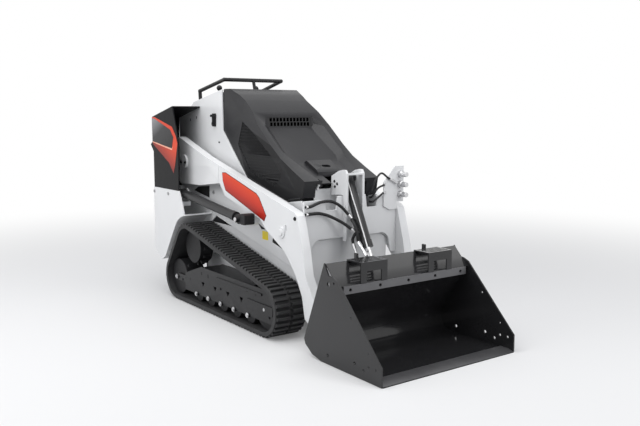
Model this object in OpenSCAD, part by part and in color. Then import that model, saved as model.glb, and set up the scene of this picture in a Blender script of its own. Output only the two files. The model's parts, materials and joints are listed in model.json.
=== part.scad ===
// Stand-on mini track loader with a bucket.
// +X is forward, +Y is the machine's left, +Z is up. The origin lies on the ground, midway between
// the bucket's cutting edge and the tips of the rear wings. Lengths are in millimetres, angles in degrees.
// An outline in the side view is a list of [x, z] points. Pieces that come in pairs are drawn for the
// left side, and side() mirrors them to the right.

/* [Tracks] */
// Width over both tracks
track_span = 1016; // [980:2:1060]
// Width of one track
track_w = 216; // [200:2:220]
// Height of the lugs above the belt
lug_h = 14; // [8:1:18]
// Thickness of the belt under the lugs
belt_t = 22; // [14:1:28]
// Distance from lug to lug along the belt
lug_pitch = 38; // [34:1:60]
// Length of a lug at its tip, along the belt
lug_tip = 15; // [10:1:18]
// Place of the front idler
front_idler_x = 250; // [200:1:280]
// Radius of the track over the front idler, lugs included
front_idler_r = 165; // [150:1:172]
// Place of the rear idler
rear_idler_x = -920; // [-940:1:-880]
// Radius of the track over the rear idler, lugs included
rear_idler_r = 160; // [150:1:165]
// Place of the drive sprocket
sprocket_x = -740; // [-760:1:-700]
// Height of the drive sprocket
sprocket_z = 392; // [370:1:400]
// Radius of the track over the drive sprocket, lugs included
sprocket_r = 168; // [150:1:172]
// Teeth on the drive sprocket
sprocket_teeth = 13; // [9:1:17]
// Number of bottom rollers on each side
roller_n = 5; // [3:1:5]
// Radius of a bottom roller
roller_r = 55; // [45:1:60]
// Distance between two bottom rollers
roller_step = 170; // [165:1:175]

/* [Body] */
// Gap between the body's side plates and the tracks
body_gap = 5; // [5:1:12]
// Plate thickness of the chassis and side panels
plate_t = 10; // [6:1:12]
// Height of the belly above the ground
belly_z = 160; // [140:1:180]
// Height of the chassis tub
tub_z = 550; // [540:1:560]
// Front of the chassis tub
tub_front_x = 430; // [420:1:432]
// Rear of the chassis tub
tub_rear_x = -880; // [-890:1:-860]
// Height of the rear end of the hood
hood_z = 1465; // [1440:1:1500]
// Wall thickness of the hood
hood_t = 6; // [4:1:8]
// Clear width between an arm and its rear pod, where the lift cylinder lies
cylinder_bay = 92; // [88:1:100]
// Sheet thickness of the pods and wings
pod_t = 8; // [5:1:10]

/* [Lift arms] */
// Place of the arm pivot
arm_pivot_x = -946; // [-956:1:-936]
// Height of the arm pivot
arm_pivot_z = 972; // [962:1:982]
// Gap between the side panels and the arms
arm_gap = 57; // [52:1:60]
// Thickness of each arm
arm_t = 56; // [50:1:60]
// Radius of the arm pivot pins
arm_pin_r = 30; // [24:1:36]
// Place of the bucket pivot at the foot of the arms
foot_x = 635; // [630:1:640]
// Height of the bucket pivot
foot_z = 185; // [180:1:190]
// Radius of the bucket pivot pins
foot_pin_r = 20; // [16:1:24]
// Running clearance of a pin in its bore
pin_gap = 0.05; // [0.02:0.01:0.1]

/* [Cylinders] */
// Place of the lift cylinder's rear pin
lift_base_x = -900; // [-910:1:-890]
// Height of the lift cylinder's rear pin
lift_base_z = 754; // [750:1:760]
// Place of the lift cylinder's front pin
lift_eye_x = -73; // [-90:1:-60]
// Height of the lift cylinder's front pin
lift_eye_z = 661; // [650:1:670]
// Outer radius of the lift barrel
lift_barrel_r = 28; // [24:1:32]
// Gap between the lift barrel's gland and the eye of its rod with the arms down
lift_gland_gap = 36; // [20:1:110]
// Radius of the lift rod
lift_rod_r = 16; // [12:1:18]
// Length of the lift rod from its pin
lift_rod_l = 430; // [400:1:460]
// Place of the tilt cylinder's upper pin
tilt_top_x = 406; // [402:1:410]
// Height of the tilt cylinder's upper pin
tilt_top_z = 928; // [920:1:935]
// Place of the tilt cylinder's lower pin
tilt_low_x = 694; // [688:1:698]
// Height of the tilt cylinder's lower pin
tilt_low_z = 345; // [340:1:350]
// Outer radius of the tilt barrel
tilt_barrel_r = 33; // [28:1:36]
// Length of the tilt barrel from its pin
tilt_barrel_l = 440; // [400:1:450]
// Radius of the tilt rod
tilt_rod_r = 17; // [14:1:20]
// Length of the tilt rod from its pin
tilt_rod_l = 540; // [520:1:550]

/* [Bucket] */
// How far the bucket's sides stand in from the tracks' outer edges
bucket_inset = 30; // [20:1:60]
// Place of the cutting edge
edge_x = 1298; // [1250:1:1350]
// Sheet thickness of the bucket
bucket_t = 8; // [6:1:10]
// Radius of the bend between the bucket's back and floor
bucket_bend_r = 104; // [80:1:120]

/* [Operator's place] */
// Gap between the folding platform and the side panels' outer faces
platform_gap = 27; // [20:1:45]
// Length of the folding platform
platform_l = 360; // [320:1:380]
// Height of the platform above the ground
platform_z = 286; // [270:1:300]
// Tube radius of the grab bar
grab_r = 13; // [10:1:16]
// Height of the grab bar's front cross tube above the console
grab_rise = 91; // [70:1:110]

/* [Hidden] */
$fn = 64;

white = [0.88, 0.89, 0.90];
black = [0.16, 0.16, 0.17];
rubber = [0.09, 0.09, 0.09];
steel = [0.62, 0.63, 0.65];
cover = 0.5;        // how far a cutter runs past the face that it cuts
seat = 0.3;         // gap between two pieces that bear on each other

track_y1 = track_span / 2;
track_y0 = track_y1 - track_w;
body_y = track_y0 - body_gap - plate_t;
panel_y = body_y + plate_t;
arm_y0 = panel_y + arm_gap;
arm_y1 = arm_y0 + arm_t;
pod_y = arm_y1 + cylinder_bay + pod_t;
lift_y = arm_y1 + cylinder_bay / 2;
bucket_y = track_y1 - bucket_inset;

// Mirrors the children to the right side of the machine.
module side(right) {
  if (right) mirror([0, 1, 0]) children();
  else children();
}

// Extrudes an outline of [x, z] points from y0 to y1.
module slab(outline, y0, y1) {
  translate([0, y1, 0]) rotate([90, 0, 0]) linear_extrude(height = y1 - y0) polygon(outline);
}

// A cylinder along Y at p = [x, z].
module rod_y(p, r, y0, y1) {
  translate([p[0], y1, p[1]]) rotate([90, 0, 0]) cylinder(r = r, h = y1 - y0);
}

// A cylinder along X at p = [_, y, z].
module rod_x(p, r, x0, x1) {
  translate([x0, p[1], p[2]]) rotate([0, 90, 0]) cylinder(r = r, h = x1 - x0);
}

// Extrudes an outline of [y, z] points from x0 to x1.
module slab_x(outline, x0, x1) {
  translate([x0, 0, 0]) rotate([90, 0, 90]) linear_extrude(height = x1 - x0) polygon(outline);
}

// The half of an outline with y > 0, closed by its mirror image.
function both_halves(half) = concat(half, [for (i = [len(half) - 1:-1:0]) [-half[i][0], half[i][1]]]);

// A box between two corners.
module block(a, b) {
  translate(a) cube([b[0] - a[0], b[1] - a[1], b[2] - a[2]]);
}

// Points on an arc about c from angle a0 to a1 in n steps.
function arc(c, r, a0, a1, n) = [for (i = [0:n]) let (a = a0 + (a1 - a0) * i / n) c + r * [cos(a), sin(a)]];

// Track loop. The belt's outer face runs round three circles, and lugs stand on it.

loop_c = [[front_idler_x, front_idler_r], [sprocket_x, sprocket_z], [rear_idler_x, rear_idler_r]];
loop_r = [front_idler_r - lug_h, sprocket_r - lug_h, rear_idler_r - lug_h];

// Direction of the outward normal on the straight run from circle i to the next.
function run_normal(i) =
  let (j = (i + 1) % 3, d = loop_c[j] - loop_c[i])
  atan2(d[1], d[0]) - acos((loop_r[i] - loop_r[j]) / norm(d));
function wrap(a) = a - 360 * floor(a / 360);
function arc_start(i) = run_normal((i + 2) % 3);
function arc_turn(i) = wrap(run_normal(i) - arc_start(i));
function run_length(i) =
  let (j = (i + 1) % 3)
  sqrt(pow(norm(loop_c[j] - loop_c[i]), 2) - pow(loop_r[i] - loop_r[j], 2));

// Six stretches in turn: the arc on circle 0, the run after it, and so on.
stretch = [for (i = [0:2], k = [0, 1]) k == 0 ? loop_r[i] * arc_turn(i) * PI / 180 : run_length(i)];
function begin_of(k) = k == 0 ? 0 : stretch[k - 1] + begin_of(k - 1);
loop_length = begin_of(5) + stretch[5];
function stretch_at(s, k = 5) = k == 0 || s >= begin_of(k) ? k : stretch_at(s, k - 1);

// The point at length s along the belt and at height h above its outer face.
function belt_point(s, h) =
  let (s1 = s - loop_length * floor(s / loop_length), k = stretch_at(s1), i = floor(k / 2),
    t = s1 - begin_of(k))
  k % 2 == 0
    ? let (a = arc_start(i) + t / loop_r[i] * 180 / PI) loop_c[i] + (loop_r[i] + h) * [cos(a), sin(a)]
    : let (a = run_normal(i)) loop_c[i] + (loop_r[i] + h) * [cos(a), sin(a)] + t * [-sin(a), cos(a)];

lug_n = round(loop_length / lug_pitch);
lug_root = lug_tip + lug_h / 2;
// Length along the belt and height of a lug's corners
lug_corners = [[-lug_root / 2, 0], [-lug_tip / 2, lug_h], [lug_tip / 2, lug_h], [lug_root / 2, 0]];
belt_outline = [for (k = [0:lug_n - 1], q = lug_corners) belt_point(k * loop_length / lug_n + q[0], q[1])];
belt_inside = [for (k = [0:lug_n - 1]) belt_point(k * loop_length / lug_n, -belt_t)];
inside_r = [for (r = loop_r) r - belt_t];

module track(right) {
  color(rubber) side(right) difference() {
    slab(belt_outline, track_y0, track_y1);
    slab(belt_inside, track_y0 - cover, track_y1 + cover);
  }
}

// Track frame: two side plates, a top plate and the rollers' axles.

frame_y0 = track_y0 + 24;
frame_y1 = track_y1 - 24;
frame_t = 10;
roller_z = lug_h + belt_t + seat + roller_r;
roller_x0 = front_idler_x - 190 - roller_step * (roller_n - 1);
function roller_x(i) = roller_x0 + i * roller_step;
frame_top_z = 284;
frame_low_z = 80;
frame_outline = [
  [rear_idler_x + 118, frame_low_z + 8], [front_idler_x + 96, frame_low_z + 8],
  [front_idler_x + 112, 205], [front_idler_x + 50, frame_top_z - 20], [front_idler_x + 10, frame_top_z],
  [sprocket_x + 180, frame_top_z], [rear_idler_x + 118, 205]
];
axle_r = 14;
// Hole between two rollers, wide at the top and narrow below, about its own middle
frame_hole = [[-19, 12], [19, 12], [15, -2], [6, -6], [6, -16], [-6, -16], [-6, -6], [-15, -2]];
frame_hole_z = 172;
rail_x = [sprocket_x + 400, front_idler_x - 30];

module track_frame(right) {
  color(black) side(right) {
    difference() {
      union() {
        slab(frame_outline, frame_y1 - frame_t, frame_y1);
        slab(frame_outline, frame_y0, frame_y0 + frame_t);
        block([sprocket_x + 190, frame_y0, frame_top_z - frame_t],
          [front_idler_x - 140, frame_y1, frame_top_z]);
      }
      for (i = [0:roller_n - 2]) {
        hole_at = [(roller_x(i) + roller_x(i + 1)) / 2, frame_hole_z];
        slab([for (p = frame_hole) hole_at + p], frame_y1 - frame_t - cover, frame_y1 + cover);
      }
    }
    block([rail_x[0], frame_y1 - 1, frame_top_z - 44], [rail_x[1], frame_y1 + 7, frame_top_z - 30]);
    for (i = [0:roller_n - 1]) rod_y([roller_x(i), roller_z], axle_r, frame_y0, frame_y1 + 8);
    rod_y(loop_c[0], axle_r, frame_y0, frame_y1);
    block([rear_idler_x, frame_y0, rear_idler_r - 24], [rear_idler_x + 130, frame_y0 + frame_t,
      rear_idler_r + 24]);
    rod_y(loop_c[2], axle_r, frame_y0, frame_y1 + 8);
    block([rear_idler_x, frame_y1 - frame_t, rear_idler_r - 24],
      [rear_idler_x + 130, frame_y1, rear_idler_r + 24]);
  }
}

module wheel(p, r, hub, y0, y1) {
  difference() {
    rod_y(p, r, y0, y1);
    rod_y(p, hub, y0 - cover, y1 + cover);
  }
}

wheel_y0 = frame_y0 + frame_t + 6;
wheel_y1 = frame_y1 - frame_t - 6;

module rollers(right) {
  color(black) side(right)
    for (i = [0:roller_n - 1]) wheel([roller_x(i), roller_z], roller_r, axle_r + seat, wheel_y0, wheel_y1);
}

module idlers(right) {
  color(black) side(right) {
    wheel(loop_c[0], inside_r[0] - 2, axle_r + seat, wheel_y0, wheel_y1);
    wheel(loop_c[2], inside_r[2] - 2, axle_r + seat, wheel_y0, wheel_y1);
  }
}

// Drive sprocket, on a motor that the chassis carries.

motor_r = 70;

module sprocket(right) {
  color(black) side(right) difference() {
    union() {
      rod_y(loop_c[1], inside_r[1] - 22, track_y0 + 60, track_y1 - 60);
      for (i = [0:sprocket_teeth - 1])
        translate([sprocket_x, 0, sprocket_z]) rotate([0, i * 360 / sprocket_teeth, 0])
          block([inside_r[1] - 30, track_y0 + 84, -9], [inside_r[1] - 3, track_y1 - 84, 9]);
    }
    rod_y(loop_c[1], motor_r + seat, track_y0 + 59, track_y1 - 80);
  }
}

// Chassis: an open tub with the drive motors, the seats of the track frames and the front bulkhead.

hinge_x = tub_front_x - 95;
hinge_z = 885;
hinge_r = 12;
hinge_pin_r = 6;
bulkhead_y = body_y - 92;
bulkhead_t = 10;
lug_y = bulkhead_y - 31;    // inner face of the hood's hinge lugs on the bulkhead
lug_t = 15;
deck_rise = 26;       // height of the front deck above the tub
deck_chamfer = 44;    // width of the deck's sloping sides
platform_pin_x = tub_rear_x - 26;
platform_pin_z = platform_z - 13;
platform_pin_r = 9;
platform_y = panel_y - platform_gap;
stub_x = [-470, 60];

module chassis_frame() {
  tub = [[tub_rear_x, belly_z], [tub_front_x - 40, belly_z], [tub_front_x, belly_z + 40],
    [tub_front_x, tub_z], [tub_rear_x, tub_z]];
  inside = [[tub_rear_x + plate_t, belly_z + plate_t], [tub_front_x - 44, belly_z + plate_t],
    [tub_front_x - plate_t, belly_z + 44], [tub_front_x - plate_t, tub_z + 1],
      [tub_rear_x + plate_t, tub_z + 1]];
  color(white) {
    difference() {
      slab(tub, -body_y, body_y);
      slab(inside, -body_y + plate_t, body_y - plate_t);
    }
    block([hinge_x - 7 - bulkhead_t, -bulkhead_y, tub_z - 5], [hinge_x - 7, bulkhead_y, hinge_z - 25]);
    difference() {
      slab_x(both_halves([[body_y, tub_z - 20], [body_y, tub_z], [body_y - deck_chamfer, tub_z + deck_rise]]),
        tub_front_x - 150, tub_front_x);
      slab_x(both_halves([[body_y - plate_t, tub_z - 21], [body_y - plate_t, tub_z - 6],
        [body_y - deck_chamfer - 4, tub_z + deck_rise - plate_t]]), tub_front_x - 151, tub_front_x - plate_t);
      for (y = [-95, -45]) block([tub_front_x - 70, y - 16, tub_z], [tub_front_x - 56, y + 16, tub_z + 40]);
    }
    for (s = [0, 1]) side(s == 1) {
      rod_y(loop_c[1], motor_r, body_y - 60, track_y1 - 82);
      for (x = stub_x) block([x, body_y - 5, belly_z], [x + 130, frame_y0, 262]);
      block([hinge_x - 17, lug_y, hinge_z - 30], [hinge_x, lug_y + lug_t, hinge_z + hinge_r - 4]);
      rod_y([hinge_x, hinge_z], hinge_r, lug_y, lug_y + lug_t);
      rod_y([hinge_x, hinge_z], hinge_pin_r, lug_y - 20, lug_y + 1);
      block([platform_pin_x - 12, platform_y - 60, platform_pin_z - 14],
        [tub_rear_x + 5, platform_y - 46, platform_pin_z + 12]);
      rod_y([platform_pin_x, platform_pin_z], platform_pin_r, platform_y - 90, platform_y - 55);
    }
  }
}

module engine_block() {
  y = body_y - 87;
  color(steel) block([-430, -y, belly_z + plate_t], [190, y, 800]);
}

// Side panels: the upper body sides, with the pins that carry the arms.

// Lower edge over the track, then up the front, along the hood and round the operator's place
panel_outline = [
  [-1262, 330], [-1150, 300], [-700, 600], [-116, 473], [205, 397], [tub_front_x, 345], [tub_front_x, tub_z],
  [342, 800], [197, 778], [-278, 888], [-588, 1190], [-592, hood_z - 2], [-1016, 1384], [-1122, 1306],
  [-1185, 1120], [-1262, 1080]
];

module side_panel(right) {
  color(white) side(right) {
    slab(panel_outline, body_y, panel_y);
    rod_y([arm_pivot_x, arm_pivot_z], 60, panel_y, arm_y0 - seat);
    rod_y([arm_pivot_x, arm_pivot_z], arm_pin_r, panel_y, arm_y1 + 6);
  }
}

// Rear pods: white housings beside the operator's place, behind and above the tracks.

arch_gap = 48;
arch_a = wrap(run_normal(1));
pod_rear_x = -1262;
pod_low = [[pod_rear_x, 310], [-1140, 250]];
pod_arch = concat(
  [[rear_idler_x, rear_idler_r] + (rear_idler_r + arch_gap) * [cos(arch_a), sin(arch_a)]],
  arc(loop_c[1], sprocket_r + arch_gap, arch_a, 96, 8));
wing_low_z = 772;
pod_outline = concat(pod_low, pod_arch, [[-790, wing_low_z - 90], [-838, wing_low_z],
  [pod_rear_x, wing_low_z]]);
pod_inner = concat([[pod_rear_x + pod_t, 310 + pod_t], [-1140, 250 + pod_t + 2]],
  [for (p = pod_arch) p + [-6, 9]], [[-600, 700], [-600, wing_low_z + 20],
    [pod_rear_x + pod_t, wing_low_z + 20]]);

module rear_pod(right) {
  color(white) side(right) {
    difference() {
      slab(pod_outline, panel_y, pod_y);
      slab(pod_inner, panel_y - 1, pod_y - pod_t);
    }
    block([lift_base_x - 55, arm_y1 + 5, lift_base_z - 90], [lift_base_x + 45, pod_y - pod_t + 1,
      lift_base_z - 60]);
    rod_y([lift_base_x, lift_base_z], 30, arm_y1 + 5, arm_y1 + 11);
    block([lift_base_x - 30, arm_y1 + 5, lift_base_z - 70], [lift_base_x + 30, arm_y1 + 11, lift_base_z]);
    rod_y([lift_base_x, lift_base_z], lift_pin_r, arm_y1 + 6, pod_y - pod_t + 1);
  }
}

// Wings: black side guards on top of the pods.

wing_tip_x = -edge_x;
wing_outline = [
  [-1250, wing_low_z], [-842, wing_low_z], [-830, 1070], [-850, 1170], [-915, 1354], [-1262, 1280],
  [-1266, 1100], [wing_tip_x, 1080], [-1250, 1030]
];
wing_inner = [
  [-1242, wing_low_z - 1], [-800, wing_low_z - 1], [-800, 1340], [-916, 1345], [-1254, 1273],
  [-1258, 1104], [-1286, 1080], [-1242, 1028]
];

module wing(right) {
  color(black) side(right) difference() {
    slab(wing_outline, panel_y, pod_y);
    slab(wing_inner, panel_y - 1, pod_y - pod_t);
  }
}

// Console between the side panels, with its pad and controls.

console_outline = [
  [tub_rear_x, tub_z], [-620, tub_z], [-604, 1445], [-660, 1440], [-985, 1368], [-1010, 1330], [-1004, 1120],
  [-930, 960], [tub_rear_x, 900]
];
console_inner = [
  [tub_rear_x + 8, tub_z - 1], [-628, tub_z - 1], [-612, 1436], [-660, 1431], [-980, 1360], [-1002, 1328],
  [-996, 1122], [-922, 963], [tub_rear_x + 8, 904]
];

module console() {
  color(black) difference() {
    slab(console_outline, -body_y, body_y);
    slab(console_inner, -body_y + 8, body_y - 8);
  }
}

// The pad lies on the console's sloping rear face, from its upper to its lower corner.
pad_high = console_outline[6];
pad_low = console_outline[7];
pad_down = (pad_low - pad_high) / norm(pad_low - pad_high);
pad_out = [pad_down[1], -pad_down[0]];
pad_t = 32;
function on_pad(u, v) = pad_high + u * pad_down + (seat + v) * pad_out;

module thigh_pad() {
  l = norm(pad_low - pad_high);
  color(black) slab([on_pad(4, 0), on_pad(0, pad_t - 12), on_pad(12, pad_t), on_pad(l - 22, pad_t - 6),
    on_pad(l - 8, pad_t - 16), on_pad(l - 8, 0)], -body_y + 77, body_y - 77);
}

deck_front = console_outline[3];
deck_rear = console_outline[4];
deck_slope = atan2(deck_front[1] - deck_rear[1], deck_front[0] - deck_rear[0]);
lever_x = -860;
lever_y = body_y - 127;
display_x = -760;

// A frame on the console's sloping deck at x, with its Z axis square to the deck and a seat's gap above it.
module on_deck(x, y) {
  translate([x, y, deck_front[1] + (x - deck_front[0]) * tan(deck_slope)]) rotate([0, -deck_slope, 0])
    translate([0, 0, seat]) children();
}

module controls() {
  color(black) for (y = [-lever_y, lever_y]) on_deck(lever_x, y) {
    cylinder(r = 30, h = 8);
    cylinder(r1 = 27, r2 = 12, h = 30);
    cylinder(r = 8, h = 90);
    translate([0, 0, 88]) sphere(r = 20);
  }
  color(black) on_deck(display_x, 0) {
    block([-40, -60, 0], [40, 60, 22]);
    rotate([0, 14, 0]) block([-36, -54, 10], [38, 54, 30]);
  }
}

// Grab bar: a bent tube round the console's top with a post at its middle.

grab_z = deck_front[1] + grab_rise;
grab_y = body_y - 48;
grab_rear_y = body_y - 27;
grab_front_x = -662;
grab_rear_x = -975;
grab_foot_r = 22;
post_x = -638;
// Half of the bar's centre line: front middle, front corner, rear bend and foot
grab_path = [[grab_front_x, 0, grab_z], [grab_front_x, grab_y, grab_z],
  [grab_rear_x - 8, grab_rear_y, deck_rear[1] + grab_rise + 3],
  [grab_rear_x, grab_rear_y, deck_rear[1] + 6]];

module tube_between(a, b, r) {
  d = b - a;
  l = norm(d);
  translate(a) rotate([0, acos(d[2] / l), atan2(d[1], d[0])]) cylinder(r = r, h = l);
}

module grab_bar() {
  color(black) {
    for (s = [0, 1]) side(s == 1) {
      for (i = [0:2]) tube_between(grab_path[i], grab_path[i + 1], grab_r);
      for (i = [1:2]) translate(grab_path[i]) sphere(r = grab_r + 0.8);
      on_deck(grab_rear_x, grab_rear_y) cylinder(r = grab_foot_r, h = 8);
    }
    tube_between([grab_front_x, 0, grab_z], [post_x, 0, 1448], 11);
    translate([post_x, 0, 1443 + seat]) rotate([0, -5, 0]) cylinder(r = grab_foot_r, h = 8);
  }
}

// Folding platform on two pins at the rear of the tub.

module platform() {
  x1 = platform_pin_x + 14;
  x0 = x1 - platform_l;
  y = platform_y;
  color(black) {
    difference() {
      block([x0, -y, platform_z - 26], [x1, y, platform_z]);
      block([x0 + 8, -y + 8, platform_z - 27], [x1 - 34, y - 8, platform_z - 6]);
      for (s = [0, 1]) side(s == 1) {
        block([platform_pin_x - 22, y - 68, platform_z - 30], [x1 + 1, y - 38, platform_z + 1]);
        rod_y([platform_pin_x, platform_pin_z], platform_pin_r + pin_gap, y - 95, y - 54);
      }
    }
  }
}

// Hood: a moulded shell over the engine. It tips forward about two pins at its front edge.

// Rear edge, then the top line down to the front corner, the front face and the lower edge
hood_top = [[-584, hood_z - 6], [-575, hood_z], [-518, hood_z], [-421, 1423], [-360, 1388], [-243, 1313],
  [-152, 1230], [5, 1106], [107, 1035], [235, 971], [362, 912]];
hood_low = [[345, 815], [331, 806], [197, 770], [-283, 878], [-586, 1176]];
hood_outline = concat(hood_top, hood_low);
hood_inside = [[-576, 1168], [-576, hood_z - 8], [-519, hood_z - hood_t], [-424, 1417], [-363, 1382],
  [-247, 1308], [-156, 1225], [1, 1101], [104, 1030], [232, 965], [355, 908], [339, 800], [197, 750],
    [-300, 860]];
hood_y = body_y - seat;

// Long facets cut off the upper side edges. The part outside both planes is taken away, and the planes
// move in by d for the inside of the shell.
module hood_facets(d) {
  for (s = [0, 1]) side(s == 1) intersection() {
    translate([-337, hood_y, 1285]) rotate([0, 70.75, 83.89]) block([-900, -900, -d], [900, 900, 400]);
    translate([-546, hood_y, 1458]) rotate([0, 70.49, 72.11]) block([-900, -900, -d], [900, 900, 400]);
  }
}

// Recess in the hood's top: the floor and the rear step in the side view, and three pairs of sloping sides.
recess_outline = [[-226, 1327], [-216, 1288], [-196, 1210], [-142, 1169], [-50, 1105], [50, 1035],
  [100, 1000],
  [140, 984], [280, 927], [420, 871], [420, 1327]];
step_low = recess_outline[2];
step_high = recess_outline[1];
// A point on each side wall at the hood's surface, and the polar and azimuth angles of its outward normal
recess_walls = [[[-216, body_y - 97, 1288], 90, 122], [[-142, body_y - 51, 1222], 129.9, 131.1],
  [[50, body_y - 47, 1075], 136, 111.1]];

// The recess, grown by d for the wall under it
module hood_recess(d) {
  intersection() {
    translate([-d, 0, -d]) slab(recess_outline, -body_y - 40, body_y + 40);
    intersection_for (s = [0, 1], w = recess_walls) side(s == 1)
      translate(w[0]) rotate([0, w[1], w[2]]) block([-900, -900, -900], [900, 900, d]);
  }
}

// Frame on the recess' rear face, at the middle of its lower edge, with X out of the face and Z up along it.
step_lean = atan2(step_low[0] - step_high[0], step_high[1] - step_low[1]);
module on_step() {
  translate([step_low[0], 0, step_low[1]]) rotate([0, -step_lean, 0]) children();
}
grille_y = body_y - 109;
grille_z = [10, 70];

// Pod of the hood's latch, on the floor of the recess.
function recess_floor(x) = lookup(x, [for (i = [2:9]) recess_outline[i]]);
pod_x = [96, 256];
latch_at = 192;
latch_a = atan2(recess_floor(pod_x[0] + 10) - recess_floor(pod_x[1]), pod_x[1] - pod_x[0] - 10);

module latch_pod() {
  difference() {
    intersection() {
      slab([[pod_x[0], recess_floor(pod_x[0]) - 3], [pod_x[1], recess_floor(pod_x[1]) - 3],
        [pod_x[1], recess_floor(pod_x[1]) + 16], [pod_x[1] - 18, recess_floor(pod_x[1] - 18) + 22],
        [pod_x[0] + 24, recess_floor(pod_x[0] + 24) + 24], [pod_x[0], recess_floor(pod_x[0]) + 4]], -110,
          110);
      translate([0, 0, 800]) linear_extrude(height = 300)
        polygon([[pod_x[0], -92], [pod_x[1], -104], [pod_x[1], 62], [pod_x[0], 92]]);
    }
    translate([latch_at, 0, recess_floor(latch_at) + 10]) rotate([0, latch_a, 0]) {
      for (y = [-14, 14]) translate([0, y, 0]) cylinder(r = 17, h = 40);
      block([-17, -14, 0], [17, 14, 40]);
    }
  }
}

// Louvres in the hood's sides: a shallow pocket with slats across it.
louvre_outline = [[-340, 1250], [-399, 1104], [-252, 942], [57, 875], [105, 917], [113, 939], [3, 1044],
  [-220, 1189]];
louvre_d = 4;
louvre_pitch = 19;
louvre_n = 19;

module louvre_slats() {
  intersection() {
    slab(louvre_outline, hood_y - hood_t + 1, hood_y - 1);
    for (i = [0:louvre_n]) block([-420, hood_y - hood_t, 884 + i * louvre_pitch],
      [120, hood_y, 893 + i * louvre_pitch]);
  }
}

module hood() {
  color(black) {
    difference() {
      union() {
        difference() {
          slab(hood_outline, -hood_y, hood_y);
          hood_facets(0);
          difference() {
            slab(hood_inside, -hood_y + hood_t, hood_y - hood_t);
            hood_facets(hood_t);
            hood_recess(hood_t);
          }
          hood_recess(0);
          for (s = [0, 1]) side(s == 1) slab(louvre_outline, hood_y - louvre_d, hood_y + cover);
        }
        for (s = [0, 1]) side(s == 1) {
          slab([[hinge_x - 10, hinge_z - 11], [hinge_x + 10, hinge_z - 11], [hinge_x + 10, hinge_z + 26],
            [hinge_x - 12, hinge_z + 36]], lug_y - 18, lug_y - 2);
          louvre_slats();
        }
        latch_pod();
      }
      block([hinge_x + 12.5, -bulkhead_y - 5, 780], [400, bulkhead_y + 5, hinge_z + 6]);
      block([hinge_x - 40, -bulkhead_y - 6, 700], [400, bulkhead_y + 6, hinge_z - 14]);
      block([hinge_x - 70, -tower_y - tower_t - 12, 780], [400, tower_y + tower_t + 12, 1000]);
      for (s = [0, 1]) side(s == 1)
        rod_y([hinge_x, hinge_z], hinge_pin_r + pin_gap, lug_y - 21, lug_y - 0.1);
      on_step() block([-12, -grille_y, grille_z[0]], [6, grille_y, grille_z[1]]);
    }
  }
}

// Mesh in the recess' rear face, with slanted openings in two rows.
mesh_pitch = 26;
mesh_n = floor((grille_y - 8) / mesh_pitch);
mesh_hole = [[-11, -12], [7, -12], [11, 12], [-7, 12]];

module hood_grille() {
  color(black) on_step() difference() {
    block([-5, -grille_y + seat, grille_z[0] + seat], [-1, grille_y - seat, grille_z[1] - seat]);
    for (z = [25, 55], i = [-mesh_n:mesh_n - 1])
      slab_x([for (p = mesh_hole) [(i + 0.5) * mesh_pitch + p[0], z + p[1]]], -6, 0);
  }
}

// Lift arms: thick welded plates over the tracks, bent down to a foot in front of them.

// Top edge from the rear, down the front of the foot, and back along the lower edge
arm_outline = concat(
  arc([arm_pivot_x - 20, arm_pivot_z - 60], 110, 250, 200, 4),
  [[-1062, 1120], [-1029, 1139], [-633, 1017], [440, 750], [467, 732], [522, 541], [550, 400], [620, 290]],
  arc([foot_x, foot_z], 70, 30, -120, 8),
  [[foot_x - 96, foot_z - 25], [512, 282], [447, 395], [373, 479], [329, 518], [130, 619], [69, 675],
  [-363, 774], [-434, 852], [-715, 818]]);
lug_r = 46;
// Raised panel on the arm's outer face
arm_panel = [[-606, 954], [-449, 858], [-445, 963]];

module arm(right) {
  color(white) side(right) difference() {
    union() {
      slab(arm_outline, arm_y0, arm_y1);
      rod_y([lift_eye_x, lift_eye_z], lug_r, arm_y0, arm_y1);
      slab([[lift_eye_x - 60, 720], [lift_eye_x - lug_r, lift_eye_z], [lift_eye_x + lug_r, lift_eye_z],
        [lift_eye_x + 60, 690], [lift_eye_x, 760]], arm_y0, arm_y1);
      slab(arm_panel, arm_y1 - 1, arm_y1 + 3);
    }
    rod_y([arm_pivot_x, arm_pivot_z], arm_pin_r + pin_gap, arm_y0 - cover, arm_y1 + cover);
    rod_y([foot_x, foot_z], foot_pin_r + pin_gap, arm_y0 - cover, arm_y1 + cover);
  }
}

// Cross plate between the arms. It is cut round below and stepped above, and the tilt cylinder
// lies before it.
cross_x0 = 442;
cross_x1 = 454;
cross_z = [582, 826];
cross_corner = [arm_y0 - 117, 517];
tower_y = 52;
tower_t = 16;
tower_x = [336, 487];

module arm_cross() {
  half = concat(arc(cross_corner, 65, 90, 0, 8), [[arm_y0 - 40, 457], [arm_y0, 457],
    [arm_y0, cross_z[1] - 16],
    [arm_y0 - 148, cross_z[1] - 16], [arm_y0 - 158, 747], [arm_y0 - 230, 747], [arm_y0 - 240, cross_z[1]]]);
  color(white) difference() {
    slab_x(both_halves(half), cross_x0, cross_x1);
    block([cross_x0 - 1, -tower_y, 700], [cross_x1 + 1, tower_y, cross_z[1] + 1]);
  }
}

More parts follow.
